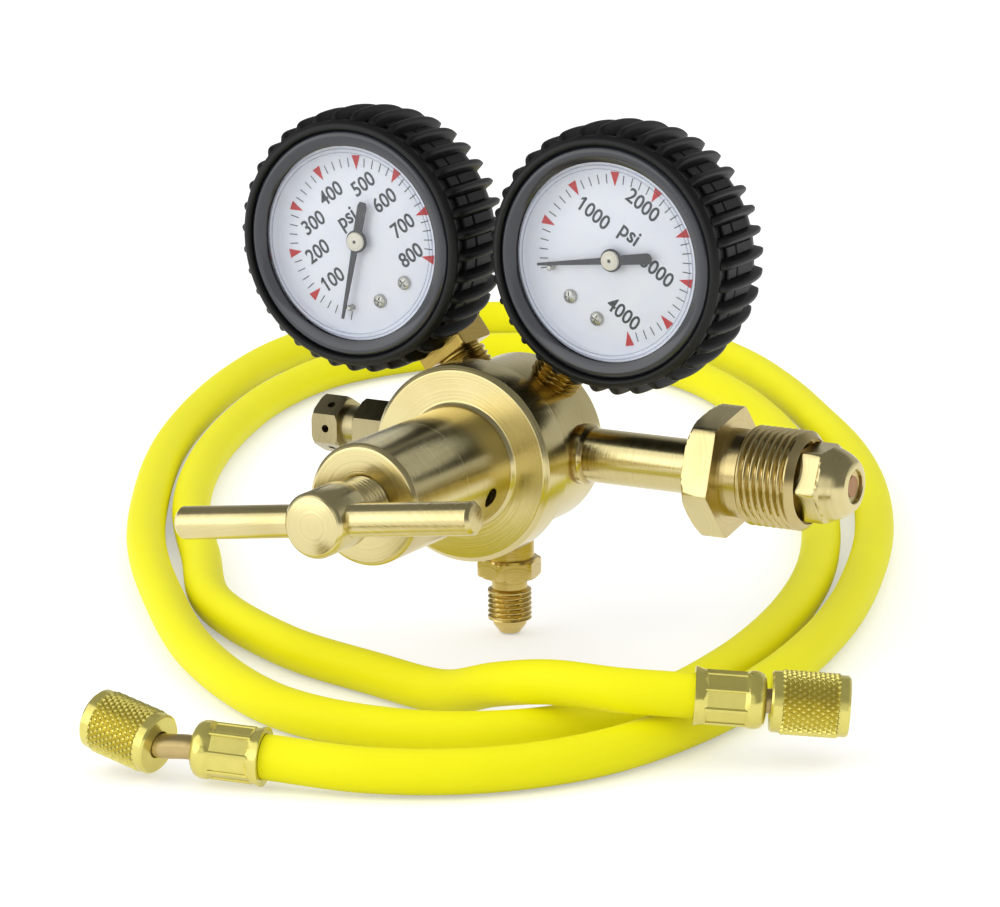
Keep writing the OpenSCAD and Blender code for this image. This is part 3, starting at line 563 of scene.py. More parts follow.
def stained(mesh, rings):
    """Browns a turned piece in bands along its axis, by adding to the groove value that the brass paint also
    uses for painted shade in threads: flux at a soldered joint, and the nut's neck and thread made browner. A
    ring is (from, to, strength).
    """
    groove = mesh.attributes.get("groove") or mesh.attributes.new("groove", "FLOAT", "POINT")
    for vertex, point in zip(mesh.vertices, groove.data):
        point.value += sum(strength for low, high, strength in rings if low <= vertex.co.z <= high)
    return mesh


# ---------- places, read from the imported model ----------

def middle(node):
    """The centre of a CAD node's box."""
    low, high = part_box(node)
    return (low + high) / 2


# Faces in millimetres in their own frames: the body's back, and the front of a gauge's lens.
BODY_BACK = 10.5
LENS_FRONT = 5.2
AXIS = Vector((middle("body").x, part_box("body")[1].y - BODY_BACK * MM, middle("body").z))
BODY = frame_of(AXIS, (0, 1, 0))
INLET = frame_of(AXIS, (1, 0, 0))
RELIEF = frame_of(AXIS, (-1, 0, 0))
OUTLET = frame_of(AXIS, (0, 0, -1), up=(0, 1, 0))
FLOOR = Matrix.Scale(MM, 4)


def gauge_place(side):
    """Local X to the dial's right, Y up its own axis, Z to the front."""
    centre = middle("lens_" + side)
    centre.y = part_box("lens_" + side)[0].y + LENS_FRONT * MM
    up = Vector((centre.x - AXIS.x, 0, centre.z - AXIS.z)).normalized()
    front = Vector((0, -1, 0))
    turn = Matrix((up.cross(front), up, front)).transposed().to_4x4()
    return Matrix.Translation(centre) @ turn @ Matrix.Scale(MM, 4)


# ---------- settings ----------

class StageSettings(bpy.types.PropertyGroup):
    azimuth: FloatProperty(name="Azimuth", description="Where the camera stands, in degrees round Z",
                           default=29.651)
    elevation: FloatProperty(name="Elevation", description="Height of the camera in degrees", default=13.5)
    roll: FloatProperty(name="Roll", description="Lean of the camera in degrees", default=-0.518)
    lens: FloatProperty(name="Lens", description="Focal length in millimetres", default=165.105)
    camera: FloatVectorProperty(name="Camera", description="Camera's place from the port axis",
                                default=(0.551618, -0.973310, 0.266261), subtype="TRANSLATION")


class HoseSettings(bpy.types.PropertyGroup):
    diameter: FloatProperty(name="Diameter", description="Outside diameter of the hose", default=0.0105,
                            unit="LENGTH")
    sides: IntProperty(name="Sides", description="Faces round the hose", default=32)
    samples: IntProperty(name="Samples", description="Rings between two route points", default=14)


class DialSettings(bpy.types.PropertyGroup):
    rest: FloatProperty(name="Rest", description="Where a pointer rests, clockwise from the dial's top",
                        default=math.radians(-131.5), subtype="ANGLE")
    division: FloatProperty(name="Division", description="Angle from one red mark to the next",
                            default=math.radians(33.75), subtype="ANGLE")
    number_size: FloatProperty(name="Number size", description="Height of the numbers' type in millimetres",
                               default=5.3)
    unit_size: FloatProperty(name="Unit size", description="Height of the unit's type in millimetres",
                             default=5.7)


class BootSettings(bpy.types.PropertyGroup):
    fins: IntProperty(name="Fins", description="Fins round a boot", default=36)
    lean_left: FloatProperty(name="Left lean", description="Turn of the left boot's fins", subtype="ANGLE",
                             default=math.radians(-1.5))
    lean_right: FloatProperty(name="Right lean", description="Turn of the right boot's fins", subtype="ANGLE",
                              default=math.radians(3))


class RegulatorSettings(bpy.types.PropertyGroup):
    stage: PointerProperty(type=StageSettings)
    hose: PointerProperty(type=HoseSettings)
    dial: PointerProperty(type=DialSettings)
    boot: PointerProperty(type=BootSettings)


# ---------- hose ----------

# The route of the hose's centre in millimetres, from its left end to its right end: two long ovals on
# the floor, at the height LAY, and a right end that rests on the strand it crosses.
LAY = 5.25
ROUTE = [
    (2, -100, 6.9), (26, -94, 5.6), (48, -81, LAY), (64, -60, LAY), (72, -32, LAY),
    (74, 2, LAY), (71, 36, LAY), (63, 75, LAY), (50, 116, LAY), (34, 156, LAY),
    (13, 197, LAY), (-10, 233, LAY), (-36, 266, LAY), (-63, 298, LAY), (-94, 328, LAY),
    (-132, 352, LAY), (-172, 360, LAY), (-206, 344, LAY), (-225, 310, LAY), (-227, 270, LAY),
    (-219, 230, LAY), (-205, 188, LAY), (-186, 144, LAY), (-161, 98, LAY), (-132, 52, LAY),
    (-98, 9, LAY), (-60, -32, LAY), (-20, -60, LAY), (15, -64, LAY), (42, -50, LAY),
    (57, -22, LAY), (59, 16, LAY), (53, 60, LAY), (40, 106, LAY), (20, 152, LAY),
    (-5, 197, LAY), (-35, 241, LAY), (-70, 281, LAY), (-108, 310, LAY), (-148, 318, LAY),
    (-181, 300, LAY), (-199, 264, LAY), (-198, 224, LAY), (-186, 180, LAY), (-167, 134, LAY),
    (-142, 89, LAY), (-112, 48, LAY), (-83, 10, LAY), (-46, -15, LAY), (-14, -26, LAY),
    (10, -34, 6.2), (30, -43, 13), (47, -47.5, 17), (64, -46, 17), (79, -38, 15.7)]
# The left nut hangs on a bent tube. The right one follows the hose, this far from its end.
LEFT_NUT = Vector((-22.5, -106, 7.8))
LEFT_NUT_WAY = Vector((-19.3, 1.2, 4)).normalized()
RIGHT_NUT_REACH = 17.5


def smooth(points, samples):
    """The smooth curve through a list of points."""
    points = [Vector(p) for p in points]
    line = []
    for k in range(len(points) - 1):
        b, c = points[k], points[k + 1]
        a = points[k - 1] if k else 2 * b - c
        d = points[k + 2] if k + 2 < len(points) else 2 * c - b
        for step in range(samples):
            t = step / samples
            line.append(0.5 * (2 * b + (c - a) * t + (2 * a - 5 * b + 4 * c - d) * t * t
                               + (3 * b - 3 * c + d - a) * t ** 3))
    line.append(points[-1])
    return line


# The paint of each material slot, and of the nodes that differ from their slot's.
SLOT_PAINT = {
    "brass": "brass", "gold_brass": "gold", "steel": "steel", "bronze": "bronze",
    "boot_rubber": "boot", "seal_rubber": "seal", "case_paint": "case", "dial_paint": "dial",
    "pointer_paint": "pointer", "lens": "lens", "hose_yellow": "hose"}
NODE_PAINT = {
    "relief_body": "relief", "relief_cap": "relief", "inlet_nut": "inlet", "inlet_nipple": "inlet",
    "outlet_fitting": "outlet", "stem_left": "stem", "stem_right": "stem"}
PALETTE = {}


def palette():
    """All materials, made once."""
    if PALETTE:
        return PALETTE
    along_x, along_y, along_z = (1, 0, 0), (0, 1, 0), (0, 0, 1)
    PALETTE.update({
        "brass": brass("Turned brass", along_y),
        "inlet": brass("Inlet brass", along_x),
        "bar": brass("Bar brass", along_z, rough=0.13),
        # Outlet brass: more golden than the body's, and darker all over as painted shade.
        "outlet": brass("Outlet brass", along_z, rgb(0.66, 0.52, 0.20), rgb(0.52, 0.38, 0.12)),
        # Relief brass: the same brass, darker and more olive as painted shade.
        "relief": brass("Relief brass", along_x, rgb(0.44, 0.38, 0.21), rgb(0.30, 0.25, 0.13), 0.2),
        # Stem brass: deeper gold than the body's, and darker all over as painted shade.
        "stem": brass("Stem brass", along_z, rgb(0.52, 0.38, 0.10), rgb(0.30, 0.19, 0.04), 0.14),
        "gold": plain_metal("Coupling brass", rgb(0.80, 0.71, 0.19), 0.12, 400.0, 0.75),
        "tube": plain_metal("Tube brass", rgb(0.60, 0.46, 0.20), 0.24, 500.0, 0.85),
        "steel": plain_metal("Screw steel", rgb(0.52, 0.52, 0.47), 0.22),
        "bronze": plain_metal("Bronze", rgb(0.50, 0.28, 0.15), 0.45, 900.0),
        "boot": rubber("Boot rubber", rgb(0.0035, 0.004, 0.0035), rgb(0.008, 0.009, 0.008), 0.4, 900.0,
                       0.2, 0.3),
        "seal": rubber("Seal rubber", rgb(0.03, 0.03, 0.03), rgb(0.06, 0.06, 0.06), 0.5, 900.0, 0.2),
        "hose": rubber("Hose rubber", rgb(0.91, 0.86, 0.004), rgb(0.94, 0.90, 0.008), 0.45, 500.0,
                       0.08, 0.15),
        "case": enamel("Case enamel", rgb(0.020, 0.022, 0.029), 0.14, 0.4),
        "dial": enamel("Dial white", rgb(0.85, 0.87, 0.98), 0.4),
        "print": enamel("Print grey", rgb(0.045, 0.055, 0.06), 0.45),
        "red": enamel("Print red", rgb(0.60, 0.03, 0.03), 0.45),
        "pointer": enamel("Pointer grey", rgb(0.05, 0.053, 0.058), 0.4),
        "cap": enamel("Pointer cap", rgb(0.78, 0.74, 0.62), 0.3, 0.3),
        "lens": clear_plastic("Clear lens"),
        # Painted reflection: the lens steps are tinted grey to draw lines at the lens's edge.
        "step": clear_plastic("Lens step", rgb(0.80, 0.82, 0.87)),
    })
    return PALETTE


class REGULATOR_OT_camera(bpy.types.Operator):
    """Sets the camera"""
    bl_idname = "regulator.camera"
    bl_label = "Camera"

    def execute(self, context):
        settings = context.scene.regulator.stage
        data = bpy.data.cameras.new("Camera")
        data.lens = settings.lens
        data.sensor_width = 36
        data.clip_end = 20
        camera = in_scene("Camera", data)
        turn = (Matrix.Rotation(math.radians(settings.azimuth), 4, "Z")
                @ Matrix.Rotation(math.radians(90 - settings.elevation), 4, "X")
                @ Matrix.Rotation(math.radians(settings.roll), 4, "Z"))
        camera.matrix_world = Matrix.Translation(AXIS + Vector(settings.camera)) @ turn
        context.scene.camera = camera
        return {"FINISHED"}


class REGULATOR_OT_hose(bpy.types.Operator):
    """Lays the hose with its ferrules, tubes and nuts"""
    bl_idname = "regulator.hose"
    bl_label = "Hose"

    def execute(self, context):
        settings = context.scene.regulator.hose
        line = smooth(ROUTE, settings.samples)
        skin = tube_along(line, settings.diameter / 2 / MM, settings.sides, palette()["hose"])
        hose = piece("Hose", skin, FLOOR, "regulator", "hose", crease=50)
        start, after_start, before_end, end = (Vector(ROUTE[k]) for k in (0, 1, -2, -1))
        start_way = (after_start - start).normalized()
        end_way = (end - before_end).normalized()
        on_it = self.fitting("left", start, -start_way, LEFT_NUT, LEFT_NUT_WAY)
        on_it += self.fitting("right", end, end_way, end + end_way * RIGHT_NUT_REACH, end_way)
        on_it += [frame["nodes"][node] for node in ("gasket_left", "gasket_right", "core_depressor")]
        length = sum((b - a).length for a, b in zip(line, line[1:])) * MM
        [p * MM for p in line]
        return {"FINISHED"}

    def fitting(self, side, lip, way, nut, nut_way):
        """The ferrule, the knurled nut and the tube between them, at one end of the hose."""
        gold, tube = palette()["gold"], palette()["tube"]
        at_nut, nut_body = frame_of(nut * MM, nut_way), "hose_nut_" + side
        return [
            piece("Ferrule_" + side, ferrule_mesh(gold), frame_of(lip * MM, way), "regulator",
                  "ferrule_" + side, gold, crease=30),
            piece("Nut_" + side, nut_mesh(), at_nut, nut_body, "coupling_nut_" + side, gold),
            piece("Knurl_" + side, knurl_mesh(gold), at_nut, nut_body, crease=10),
            piece("Spigot_" + side, spigot_mesh(lip, way, nut, nut_way, tube), FLOOR, "regulator",
                  "spigot_" + side, tube, crease=50)]


def ferrule_mesh(paint):
    """Crimped ferrule: flared lip on the hose, pressed flats with ridges, and a round shoulder."""
    sides, turn = 8, 0.2
    wall, edge, flat = 6.4, 6.1, 5.8
    profile = [(5.2, 1.5), (5.35, 0.1), (6.85, 0), (6.85, 0.5), (6.45, 1.5), (wall, 2.2),
               (wall, 2.6, edge), (wall, 3.0, flat), (wall, 11.6, flat), (wall, 12.0, edge), (6.7, 12.7),
               (6.75, 13.6), (6.65, 14.6), (6.2, 15.6), (5.3, 16.3), (4.0, 16.5), (2.9, 16.5)]
    rib = prism([(5.6, -0.6), (6.38, -0.5), (6.58, -0.25), (6.58, 0.25), (6.38, 0.5), (5.6, 0.6)], 9.8)
    ribs = lifted(ring_of(rib, paint, sides, turn, 2 * math.pi / sides), 2.4)
    return merged("ferrule", lathe(profile, 128, sides, turn), ribs)


def spigot_mesh(lip, way, nut, nut_way, paint):
    """Bent tube from a ferrule to its nut, with the flange that the nut turns on."""
    radius, hole, flange, back, front = 2.85, 2.0, 4.6, 6.3, 8.0
    path = smooth([lip + way * 16, lip + way * 19, nut, nut + nut_way * 7], 8)
    disc = lathe([(hole, back), (flange - 0.1, back), (flange, back + 0.1), (flange, front),
                  (hole, front)], 48, closed=True)
    disc.transform(Matrix.Scale(1 / MM, 4) @ frame_of(nut * MM, nut_way))
    return merged("spigot", tube_along(path, radius, 40, paint), disc)


def nut_mesh():
    """Body of a coupling nut, open at its mouth, with its thread inside."""
    hole, bore, thread, body, rim = 3.15, 4.9, 5.05, 6.7, 7.1
    return lathe([(hole, 6), (hole, 0.1), (3.3, 0), (6.6, 0), (rim, 0.5), (rim, 2.6), (body, 2.8),
                  (body, 15.2), (rim, 15.4), (rim, 17.5), (body, 18), (5.5, 18), (thread, 17.4),
                  (thread, 10), (bore, 10), (bore, 6), (hole, 6)])


def knurl_mesh(paint):
    """Diamond knurl: rows of small blunt pyramids round the nut."""
    count, rows, start, span = 30, 12, 3.0, 12.0
    foot, crest, length = 6.68, 7.45, 1.9
    half = math.pi / count * 0.97

    def diamond(radius, wide, tall):
        return [(radius * math.cos(angle), radius * math.sin(angle), z)
                for angle, z in ((-wide, 0), (0, -tall), (wide, 0), (0, tall))]

    verts = diamond(foot, half, length * 0.62) + diamond(crest, half * 0.3, length * 0.19)
    faces = [(4, 5, 6, 7)] + [(k, (k + 1) % 4, 4 + (k + 1) % 4, 4 + k) for k in range(4)]
    unit = mesh_of("diamond", verts, faces)
    return lifted(ring_of(unit, paint, count, 0.0, 2 * math.pi / count, rows, span / (rows - 1), 0.5),
                  start)


class REGULATOR_OT_body(bpy.types.Operator):
    """Turned body and bonnet, and the paint of the inner pieces"""
    bl_idname = "regulator.body"
    bl_label = "Body and bonnet"

    def execute(self, context):
        paints = palette()
        slots = {row["node"]: row["material_slot"] for row in frame["record"]["subparts"]}
        for name, node in frame["nodes"].items():
            node.data.materials.clear()
            node.data.materials.append(paints[NODE_PAINT.get(name) or SLOT_PAINT[slots[name]]])
        piece("Bonnet", cut(bonnet_mesh(), vent_tool()), BODY, "regulator", "bonnet",
              paints["brass"])
        piece("Body", body_mesh(), BODY, "regulator", "body", paints["brass"])
        return {"FINISHED"}


def bonnet_mesh():
    """Spring housing and flange. Z runs back along the body's axis."""
    chamber, hole, barrel, flange, skirt = 11.0, 7.25, 15.0, 24.8, 21.0
    nose, roof, seat, mouth = -70.5, -62.5, -18.5, -14.5
    return lathe(soften(
        [(chamber, seat), (chamber, roof), (hole, roof), (hole, -70.2), (7.6, nose), (14.0, nose),
         (barrel, -69.5), (barrel, -25.4), (15.9, -24.5), (23.6, -24.5), (flange, -23.3),
         (flange, -14.6), (24.7, mouth), (skirt, mouth), (skirt, seat)], 0.25), 160, closed=True)


def body_mesh():
    """The body's round block, behind the bonnet."""
    front, shoulder, spigot, block = -18, -14.4, 20.5, 21.8
    return lathe(soften(
        [(0, front), (spigot, front), (spigot, shoulder), (block, shoulder), (block, 9.3),
         (21.4, 10.1), (20.6, BODY_BACK), (0, BODY_BACK)], 0.2), 160)


def vent_tool():
    """The drill of the vent hole, in the bonnet's own millimetres: Z is back along the body's axis."""
    radius, length, start, station, drop = 2.5, 9, 9, -34, math.radians(18)
    drill = lathe([(0, 0), (radius, 0), (radius, length), (0, length)], 40)
    way = frame_of((0, 0, 0), (math.cos(drop), 0, -math.sin(drop)))
    drill.transform(BODY.inverted() @ Matrix.Translation(AXIS + Vector((0, station * MM, 0))) @ way
                    @ Matrix.Translation((0, 0, start)))
    return drill


class REGULATOR_OT_screw(bpy.types.Operator):
    """The adjusting screw with its cross bar"""
    bl_idname = "regulator.screw"
    bl_label = "Adjusting screw"

    def execute(self, context):
        paints = palette()
        shaft, head, neck, tip = 7.1, 8.0, -80.0, -57.5
        profile = [(0, -93.5), (6.8, -93.5), (7.0, -93.42), (7.9, -92.6), (head, -92.4), (head, -80.4),
                   (7.6, neck), (shaft, neck), (shaft, tip), (6.1, tip), (0, tip)]
        mesh = threaded(profile, neck, tip, 1.411, 0.75, shaft, paints["brass"], 96)
        piece("Screw", mesh, BODY, "handle", "adjusting_screw")
        radius, half, station, lean = 4.0, 41, -87, math.radians(7.5)
        bar = [(0, -half), (3.0, -half), (3.3, -40.9), (radius, -40.1), (radius, 40.1), (3.3, 40.9),
               (3.0, half), (0, half)]
        place = frame_of(AXIS + Vector((0, station * MM, 0)), (math.cos(lean), 0, math.sin(lean)))
        piece("Bar", lathe(bar, 64), place, "handle", "handle_bar", paints["bar"])
        return {"FINISHED"}


class REGULATOR_OT_springs(bpy.types.Operator):
    """The range, valve and relief springs"""
    bl_idname = "regulator.springs"
    bl_label = "Springs"

    def execute(self, context):
        # Name, frame, start, mean radius, wire, length, coils, joint and travel.
        springs = (("range", BODY, -57.33, 8.2, 2.6, 35.1, 7, "handle_turn", 9.2),
                   ("valve", BODY, -8.45, 2.8, 0.8, 13.45, 6, "handle_turn", 0.8),
                   ("relief", RELIEF, 32.5, 2.35, 0.8, 20.0, 9, "relief_lift", 1.5))
        for name, place, start, mean, wire, length, coils, joint, travel in springs:
            coil = spring_mesh(mean, wire, length, coils, palette()["steel"])
            spring = piece(name.capitalize() + "_spring", coil, place @ Matrix.Translation((0, 0, start)),
                           "regulator", name + "_spring", crease=60)
            along = place.to_3x3() @ Vector((0, 0, 1))
            fixed = place @ Vector((0, 0, start + length))
            1 - travel / length
            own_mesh(spring)
        return {"FINISHED"}


def spring_mesh(mean, wire, length, coils, paint):
    """A coil spring up Z with closed ends."""
    steps = 24
    path = []
    for k in range(coils * steps + 1):
        rise = min(1.0, max(0.0, (k / steps - 0.5) / (coils - 1)))
        angle = 2 * math.pi * k / steps
        path.append(Vector((mean * math.cos(angle), mean * math.sin(angle),
                            wire / 2 + (length - wire) * rise)))
    return tube_along(path, wire / 2, 12, paint)


def corner_of(flat):
    """The radius at the corners of a hexagon."""
    return flat / math.cos(math.pi / 6)


class REGULATOR_OT_inlet(bpy.types.Operator):
    """The cylinder nut, the pipe and the nose"""
    bl_idname = "regulator.inlet"
    bl_label = "Inlet"

    def execute(self, context):
        paint = palette()["inlet"]
        # The nut's neck and thread are made browner.
        browned_nut = stained(inlet_nut_mesh(paint), ((63.65, 90.0, 0.2),))
        piece("Inlet_nut", browned_nut, INLET, "nut", "inlet_nut")
        soldered = stained(nipple_mesh(), ((20.5, 22.1, 0.5), (24.0, 24.5, 0.35)))
        piece("Inlet_nipple", soldered, INLET, "regulator", "inlet_nipple", paint, crease=24)
        return {"FINISHED"}


def inlet_nut_mesh(paint):
    """Cylinder nut: a hexagon with a rounded back, a neck, the thread and the mouth."""
    flat, hole, back, recess = 14.3, 7.05, 56, 82.9
    corner, thread, thread_start, thread_end = corner_of(flat), 12.25, 69.6, 82.6
    profile = [(hole, 63), (hole, back + 0.1), (7.3, back), (14.0, back)]
    profile += [(14.0 + (corner - 13.9) * t, back + 1.5 * t ** 1.6, flat)
                for t in (0.1, 0.3, 0.5, 0.75, 1)]
    profile += [(corner + 0.1, 63.4, flat), (corner - 0.3, 63.65, flat), (corner - 0.8, 63.7, flat),
                (10.95, 63.7), (10.9, 64), (10.9, 68.6), (12.0, 69.2), (thread, thread_start),
                (thread, thread_end), (10.75, 84.1), (10.5, 84.3), (10.4, 84.0), (10.4, recess),
                (hole, recess)]
    return threaded(profile, thread_start, thread_end, 1.814, 1.0, thread, paint, 144,
                    turn=math.radians(11))


def nipple_mesh():
    """The pipe with its collar, then a hexagon and the rounded nose with the filter's seat."""
    pipe, flat, corner, seat, floor = 6.75, 8.75, 10.1, 2.6, 91
    profile = [(0, 14), (pipe, 14), (pipe, 20.6), (7.6, 21.2), (7.62, 22.0), (7.63, 22.6), (7.65, 23.4),
               (6.9, 24.1), (pipe, 24.4), (pipe, 25.0), (pipe, 83.2), (9.9, 83.5, flat),
               (corner, 83.8, flat), (corner, 89.0, flat)]
    profile += [(corner - 0.9 * t, 89.0 + 1.2 * t, flat + 0.5 * t) for t in (0.35, 0.7, 1)]
    profile += [(9.0, 90.6), (8.5, 92.0), (7.8, 93.5), (6.9, 94.8), (6.0, 95.7), (5.2, 96.0),
                (4.3, 96.0), (4.1, 95.8), (4.0, 95.0), (seat, 94.6), (seat, floor), (0, floor)]
    return lathe(profile, 144, turn=math.radians(4))


class REGULATOR_OT_outlet(bpy.types.Operator):
    """The flare outlet"""
    bl_idname = "regulator.outlet"
    bl_label = "Outlet"

    def execute(self, context):
        flat, shank, thread, thread_start, thread_end = 7.15, 6.3, 5.55, 37.5, 44.9
        corner, bore, bore_end = corner_of(flat), 2.2, 44
        profile = [(0, 17), (shank, 17), (shank, 28.9), (6.9, 29.0), (7.2, 29.0, flat),
                   (corner - 0.2, 29.5, flat), (corner, 29.8, flat), (corner, 33.3, flat),
                   (corner - 0.3, 33.7, flat), (7.3, 33.9, flat), (4.7, 33.9), (4.5, 34.1),
                   (4.5, 36.9), (5.4, 37.3), (thread, thread_start), (thread, thread_end), (4.4, 45.2),
                   (4.25, 45.4), (4.2, 46.4), (2.6, 48.5), (bore, 48.5), (bore, bore_end),
                   (0, bore_end)]
        mesh = threaded(profile, thread_start, thread_end, 1.27, 0.7, thread, palette()["outlet"], 96,
                        turn=math.radians(19))
        piece("Outlet", mesh, OUTLET, "regulator", "outlet_fitting")
        return {"FINISHED"}


# The dials' numbers and unit, each with its centre in millimetres from the dial's own.
NUMBERS = {
    "left": [("100", -13.2, -3.8), ("200", -12.6, 4.2), ("300", -9.2, 10.7), ("400", -0.2, 13.9),
             ("500", 9.3, 10.8), ("600", 12.1, 4.2), ("700", 12.7, -3.7), ("800", 10.2, -10.9)],
    "right": [("1000", -10.9, 5.6), ("2000", -1.4, 15.7), ("3000", 10.6, 4.8), ("4000", 9.4, -9.9)]}
UNIT = {"left": (-0.1, 6.6), "right": (-0.2, 7.7)}
# The blunt end of each pointer, and where each stem's wrench block ends.
TAIL = {"left": [(-1.25, -9.3), (-0.8, -10.3), (0.8, -10.3), (1.25, -9.3)],
        "right": [(-1.35, -11.0), (0.3, -11.3), (1.35, -10.2)]}
BLOCK_END = {"left": 36.0, "right": 31.8}
# A scale starts 135 degrees left of the dial's top.
SCALE_START = math.radians(90 + 135)
DIVISIONS, TICKS = 8, 5


class REGULATOR_OT_gauges(bpy.types.Operator):
    """Both gauges: bezel, dial, pointer, screws, lens and stem"""
    bl_idname = "regulator.gauges"
    bl_label = "Gauges"

    def execute(self, context):
        settings = context.scene.regulator.dial
        for side in SIDES:
            place = gauge_place(side)
            self.front(side, place, palette())
            self.print_dial(side, place, palette(), settings)
            self.pointer(side, place, palette(), settings.rest)
            self.screws(side, place, palette())
            self.glass(side, place, palette())
            self.stem(side, place, palette())
        return {"FINISHED"}

    def front(self, side, place, paints):
        """The bezel with its rounded crown, and the dial with its raised rim."""
        seat, wall, back = 26.2, 27.35, -2.5
        crown = smooth([(28.7, 4.2), (28.65, 5.0), (28.25, 5.75), (27.6, 6.15), (26.9, 6.2), (26.0, 5.95),
                        (25.2, 5.6), (24.75, 5.35)], 3)
        bezel = [(24.6, LENS_FRONT), (seat, 5.0), (seat, back), (wall, back), (wall, 4.2)]
        bezel += [point[:2] for point in crown]
        piece("Bezel_" + side, lathe(bezel, 128, closed=True), place, "regulator",
              "bezel_" + side, paints["case"])
        rim, edge, under = 3.55, 25.0, -0.6
        pan = soften([(0, 0.0), (23.2, 0.0), (24.3, 0.5), (24.5, rim), (edge, rim), (edge, under),
                      (0, under)], 0.6)
        piece("Dial_" + side, lathe(pan[::-1], 128), place, "regulator", "dial_" + side,
              paints["dial"])

    def print_dial(self, side, place, paints, settings):
        """The ticks, the red marks and the numbers, as thin ink."""
        division, ink = settings.division, 0.03
        tick = prism([(18.6, -0.12), (20.9, -0.12), (20.9, 0.12), (18.6, 0.12)], ink)
        ticks = ring_of(tick, paints["print"], DIVISIONS * TICKS + 1, SCALE_START, -division / TICKS)
        piece("Ticks_" + side, lifted(ticks, 0.02), place, "regulator")
        wedge = prism([(17.9, 0), (21.5, -1.2), (21.5, 1.2)], ink)
        marks = ring_of(wedge, paints["red"], DIVISIONS, SCALE_START - division, -division)
        piece("Marks_" + side, lifted(marks, 0.06), place, "regulator")
        words = [self.word(text, settings.number_size, (x, y)) for text, x, y in NUMBERS[side]]
        words.append(self.word("psi", settings.unit_size, UNIT[side]))
        piece("Numbers_" + side, merged("numbers", *words), place, "regulator",
              paint=paints["print"])

    def word(self, text, size, centre):
        """A word as a mesh, centred on a point of the dial. A leading 1 gets a flag."""
        curve = bpy.data.curves.new("word", "FONT")
        curve.body = text
        curve.size = size
        curve.align_x = "CENTER"
        curve.align_y = "CENTER"
        curve.offset = size * 0.016
        curve.extrude = 0.02
        curve.resolution_u = 4
        thing = in_scene("word", curve)
        mesh = evaluated(thing)
        bpy.data.objects.remove(thing)
        if text.startswith("1"):
            left = min(v.co.x for v in mesh.vertices)
            top = max(v.co.y for v in mesh.vertices)
            flag = prism([(left + 0.35, top), (left - 0.7, top - 0.75), (left - 0.7, top - 1.4),
                          (left + 0.35, top - 0.7)], 0.02)
            mesh = merged("word", mesh, flag)
        narrow = Matrix.Diagonal((0.92, 1.0, 1.0, 1.0))
        mesh.transform(Matrix.Translation((centre[0], centre[1], 0.04)) @ narrow)
        return mesh

    def pointer(self, side, place, paints, rest):
        """The needle at rest, with its cap and hub, and the stop pin that it rests on."""
        body = "pointer_" + side
        blade = [(-0.32, 20.5), (-0.8, 3.5), (-1.1, 0)] + TAIL[side] + [(1.1, 0), (0.8, 3.5), (0.32, 20.5)]
        at_rest = place @ Matrix.Rotation(-rest, 4, "Z") @ Matrix.Translation((0, 0, 2.0))
        piece("Pointer_" + side, prism(blade, 0.45), at_rest, body, "pointer_" + side,
              paints["pointer"])
        cap = [(0, 1.2), (0.6, 1.2), (0.6, 1.9), (2.1, 1.9), (2.4, 2.1), (2.4, 2.7), (2.25, 3.05),
               (1.95, 3.1), (1.8, 3.0), (1.65, 3.15), (0.5, 3.25), (0.4, 3.0), (0, 2.9)]
        piece("Pointer_cap_" + side, lathe(cap, 64), place, body, paint=paints["cap"])
        dot = lathe([(0, 2.9), (0.42, 2.9), (0.42, 3.06), (0, 3.06)], 24)
        hub = lathe([(0.7, 1.6), (2.6, 1.6), (2.85, 1.8), (2.85, 2.2), (2.6, 2.4), (0.7, 2.4)], 64,
                    closed=True)
        piece("Pointer_hub_" + side, merged("hub", dot, hub), place, body,
              paint=paints["pointer"])
        pin = lathe([(0, -0.4), (0.75, -0.4), (0.75, 2.0), (0.55, 2.2), (0, 2.25)], 32)
        reach, angle = 17.5, math.pi / 2 - rest + math.radians(3.6)
        seat = Matrix.Translation((reach * math.cos(angle), reach * math.sin(angle), 0))
        piece("Stop_pin_" + side, pin, place @ seat, "regulator", paint=paints["steel"])

    def screws(self, side, place, paints):
        """Two cross-recessed screws in the dial."""
        reach, shank, head, half, wide = 16, 0.75, 1.8, 1.15, 0.2
        both = []
        for turn in (-16, 16):
            profile = [(0, -3.6), (shank, -3.6), (shank, -0.2), (head, -0.2), (head, 0.35), (1.6, 0.75),
                       (1.2, 1.0), (0.6, 1.12), (0, 1.15)]
            slots = [prism([(-half, -wide), (half, -wide), (half, wide), (-half, wide)], 1.0)
                     for _ in range(2)]
            slots[1].transform(Matrix.Rotation(math.pi / 2, 4, "Z"))
            for slot in slots:
                slot.transform(Matrix.Rotation(math.radians(25 + turn), 4, "Z")
                               @ Matrix.Translation((0, 0, 0.5)))
            screw = cut(lathe(profile, 48), *slots)
            angle = math.radians(-90 - turn)
            screw.transform(Matrix.Translation((reach * math.cos(angle), reach * math.sin(angle), 0)))
            both.append(screw)
        piece("Dial_screws_" + side, merged("screws", *both), place, "regulator",
              "dial_screws_" + side, paints["steel"])

    def glass(self, side, place, paints):
        """The lens, and the two fine steps near its edge, tinted grey as painted reflection lines."""
        back, edge, low, high = 3.6, 26.1, 5.05, 5.22
        lens = [(0, back), (26.0, back), (edge, 3.8), (edge, 5.0), (24.2, 5.15), (23.4, 5.0),
                (23.0, LENS_FRONT), (0, LENS_FRONT)]
        piece("Lens_" + side, lathe(lens, 128), place, "regulator", "lens_" + side,
              paints["lens"])
        rims = [lathe([(inner, low), (inner + width, low), (inner + width, high), (inner, high)], 160,
                      closed=True) for inner, width in ((23.75, 0.3), (22.85, 0.22))]
        piece("Lens_step_" + side, merged("rims", *rims), place, "regulator",
              paint=paints["step"])

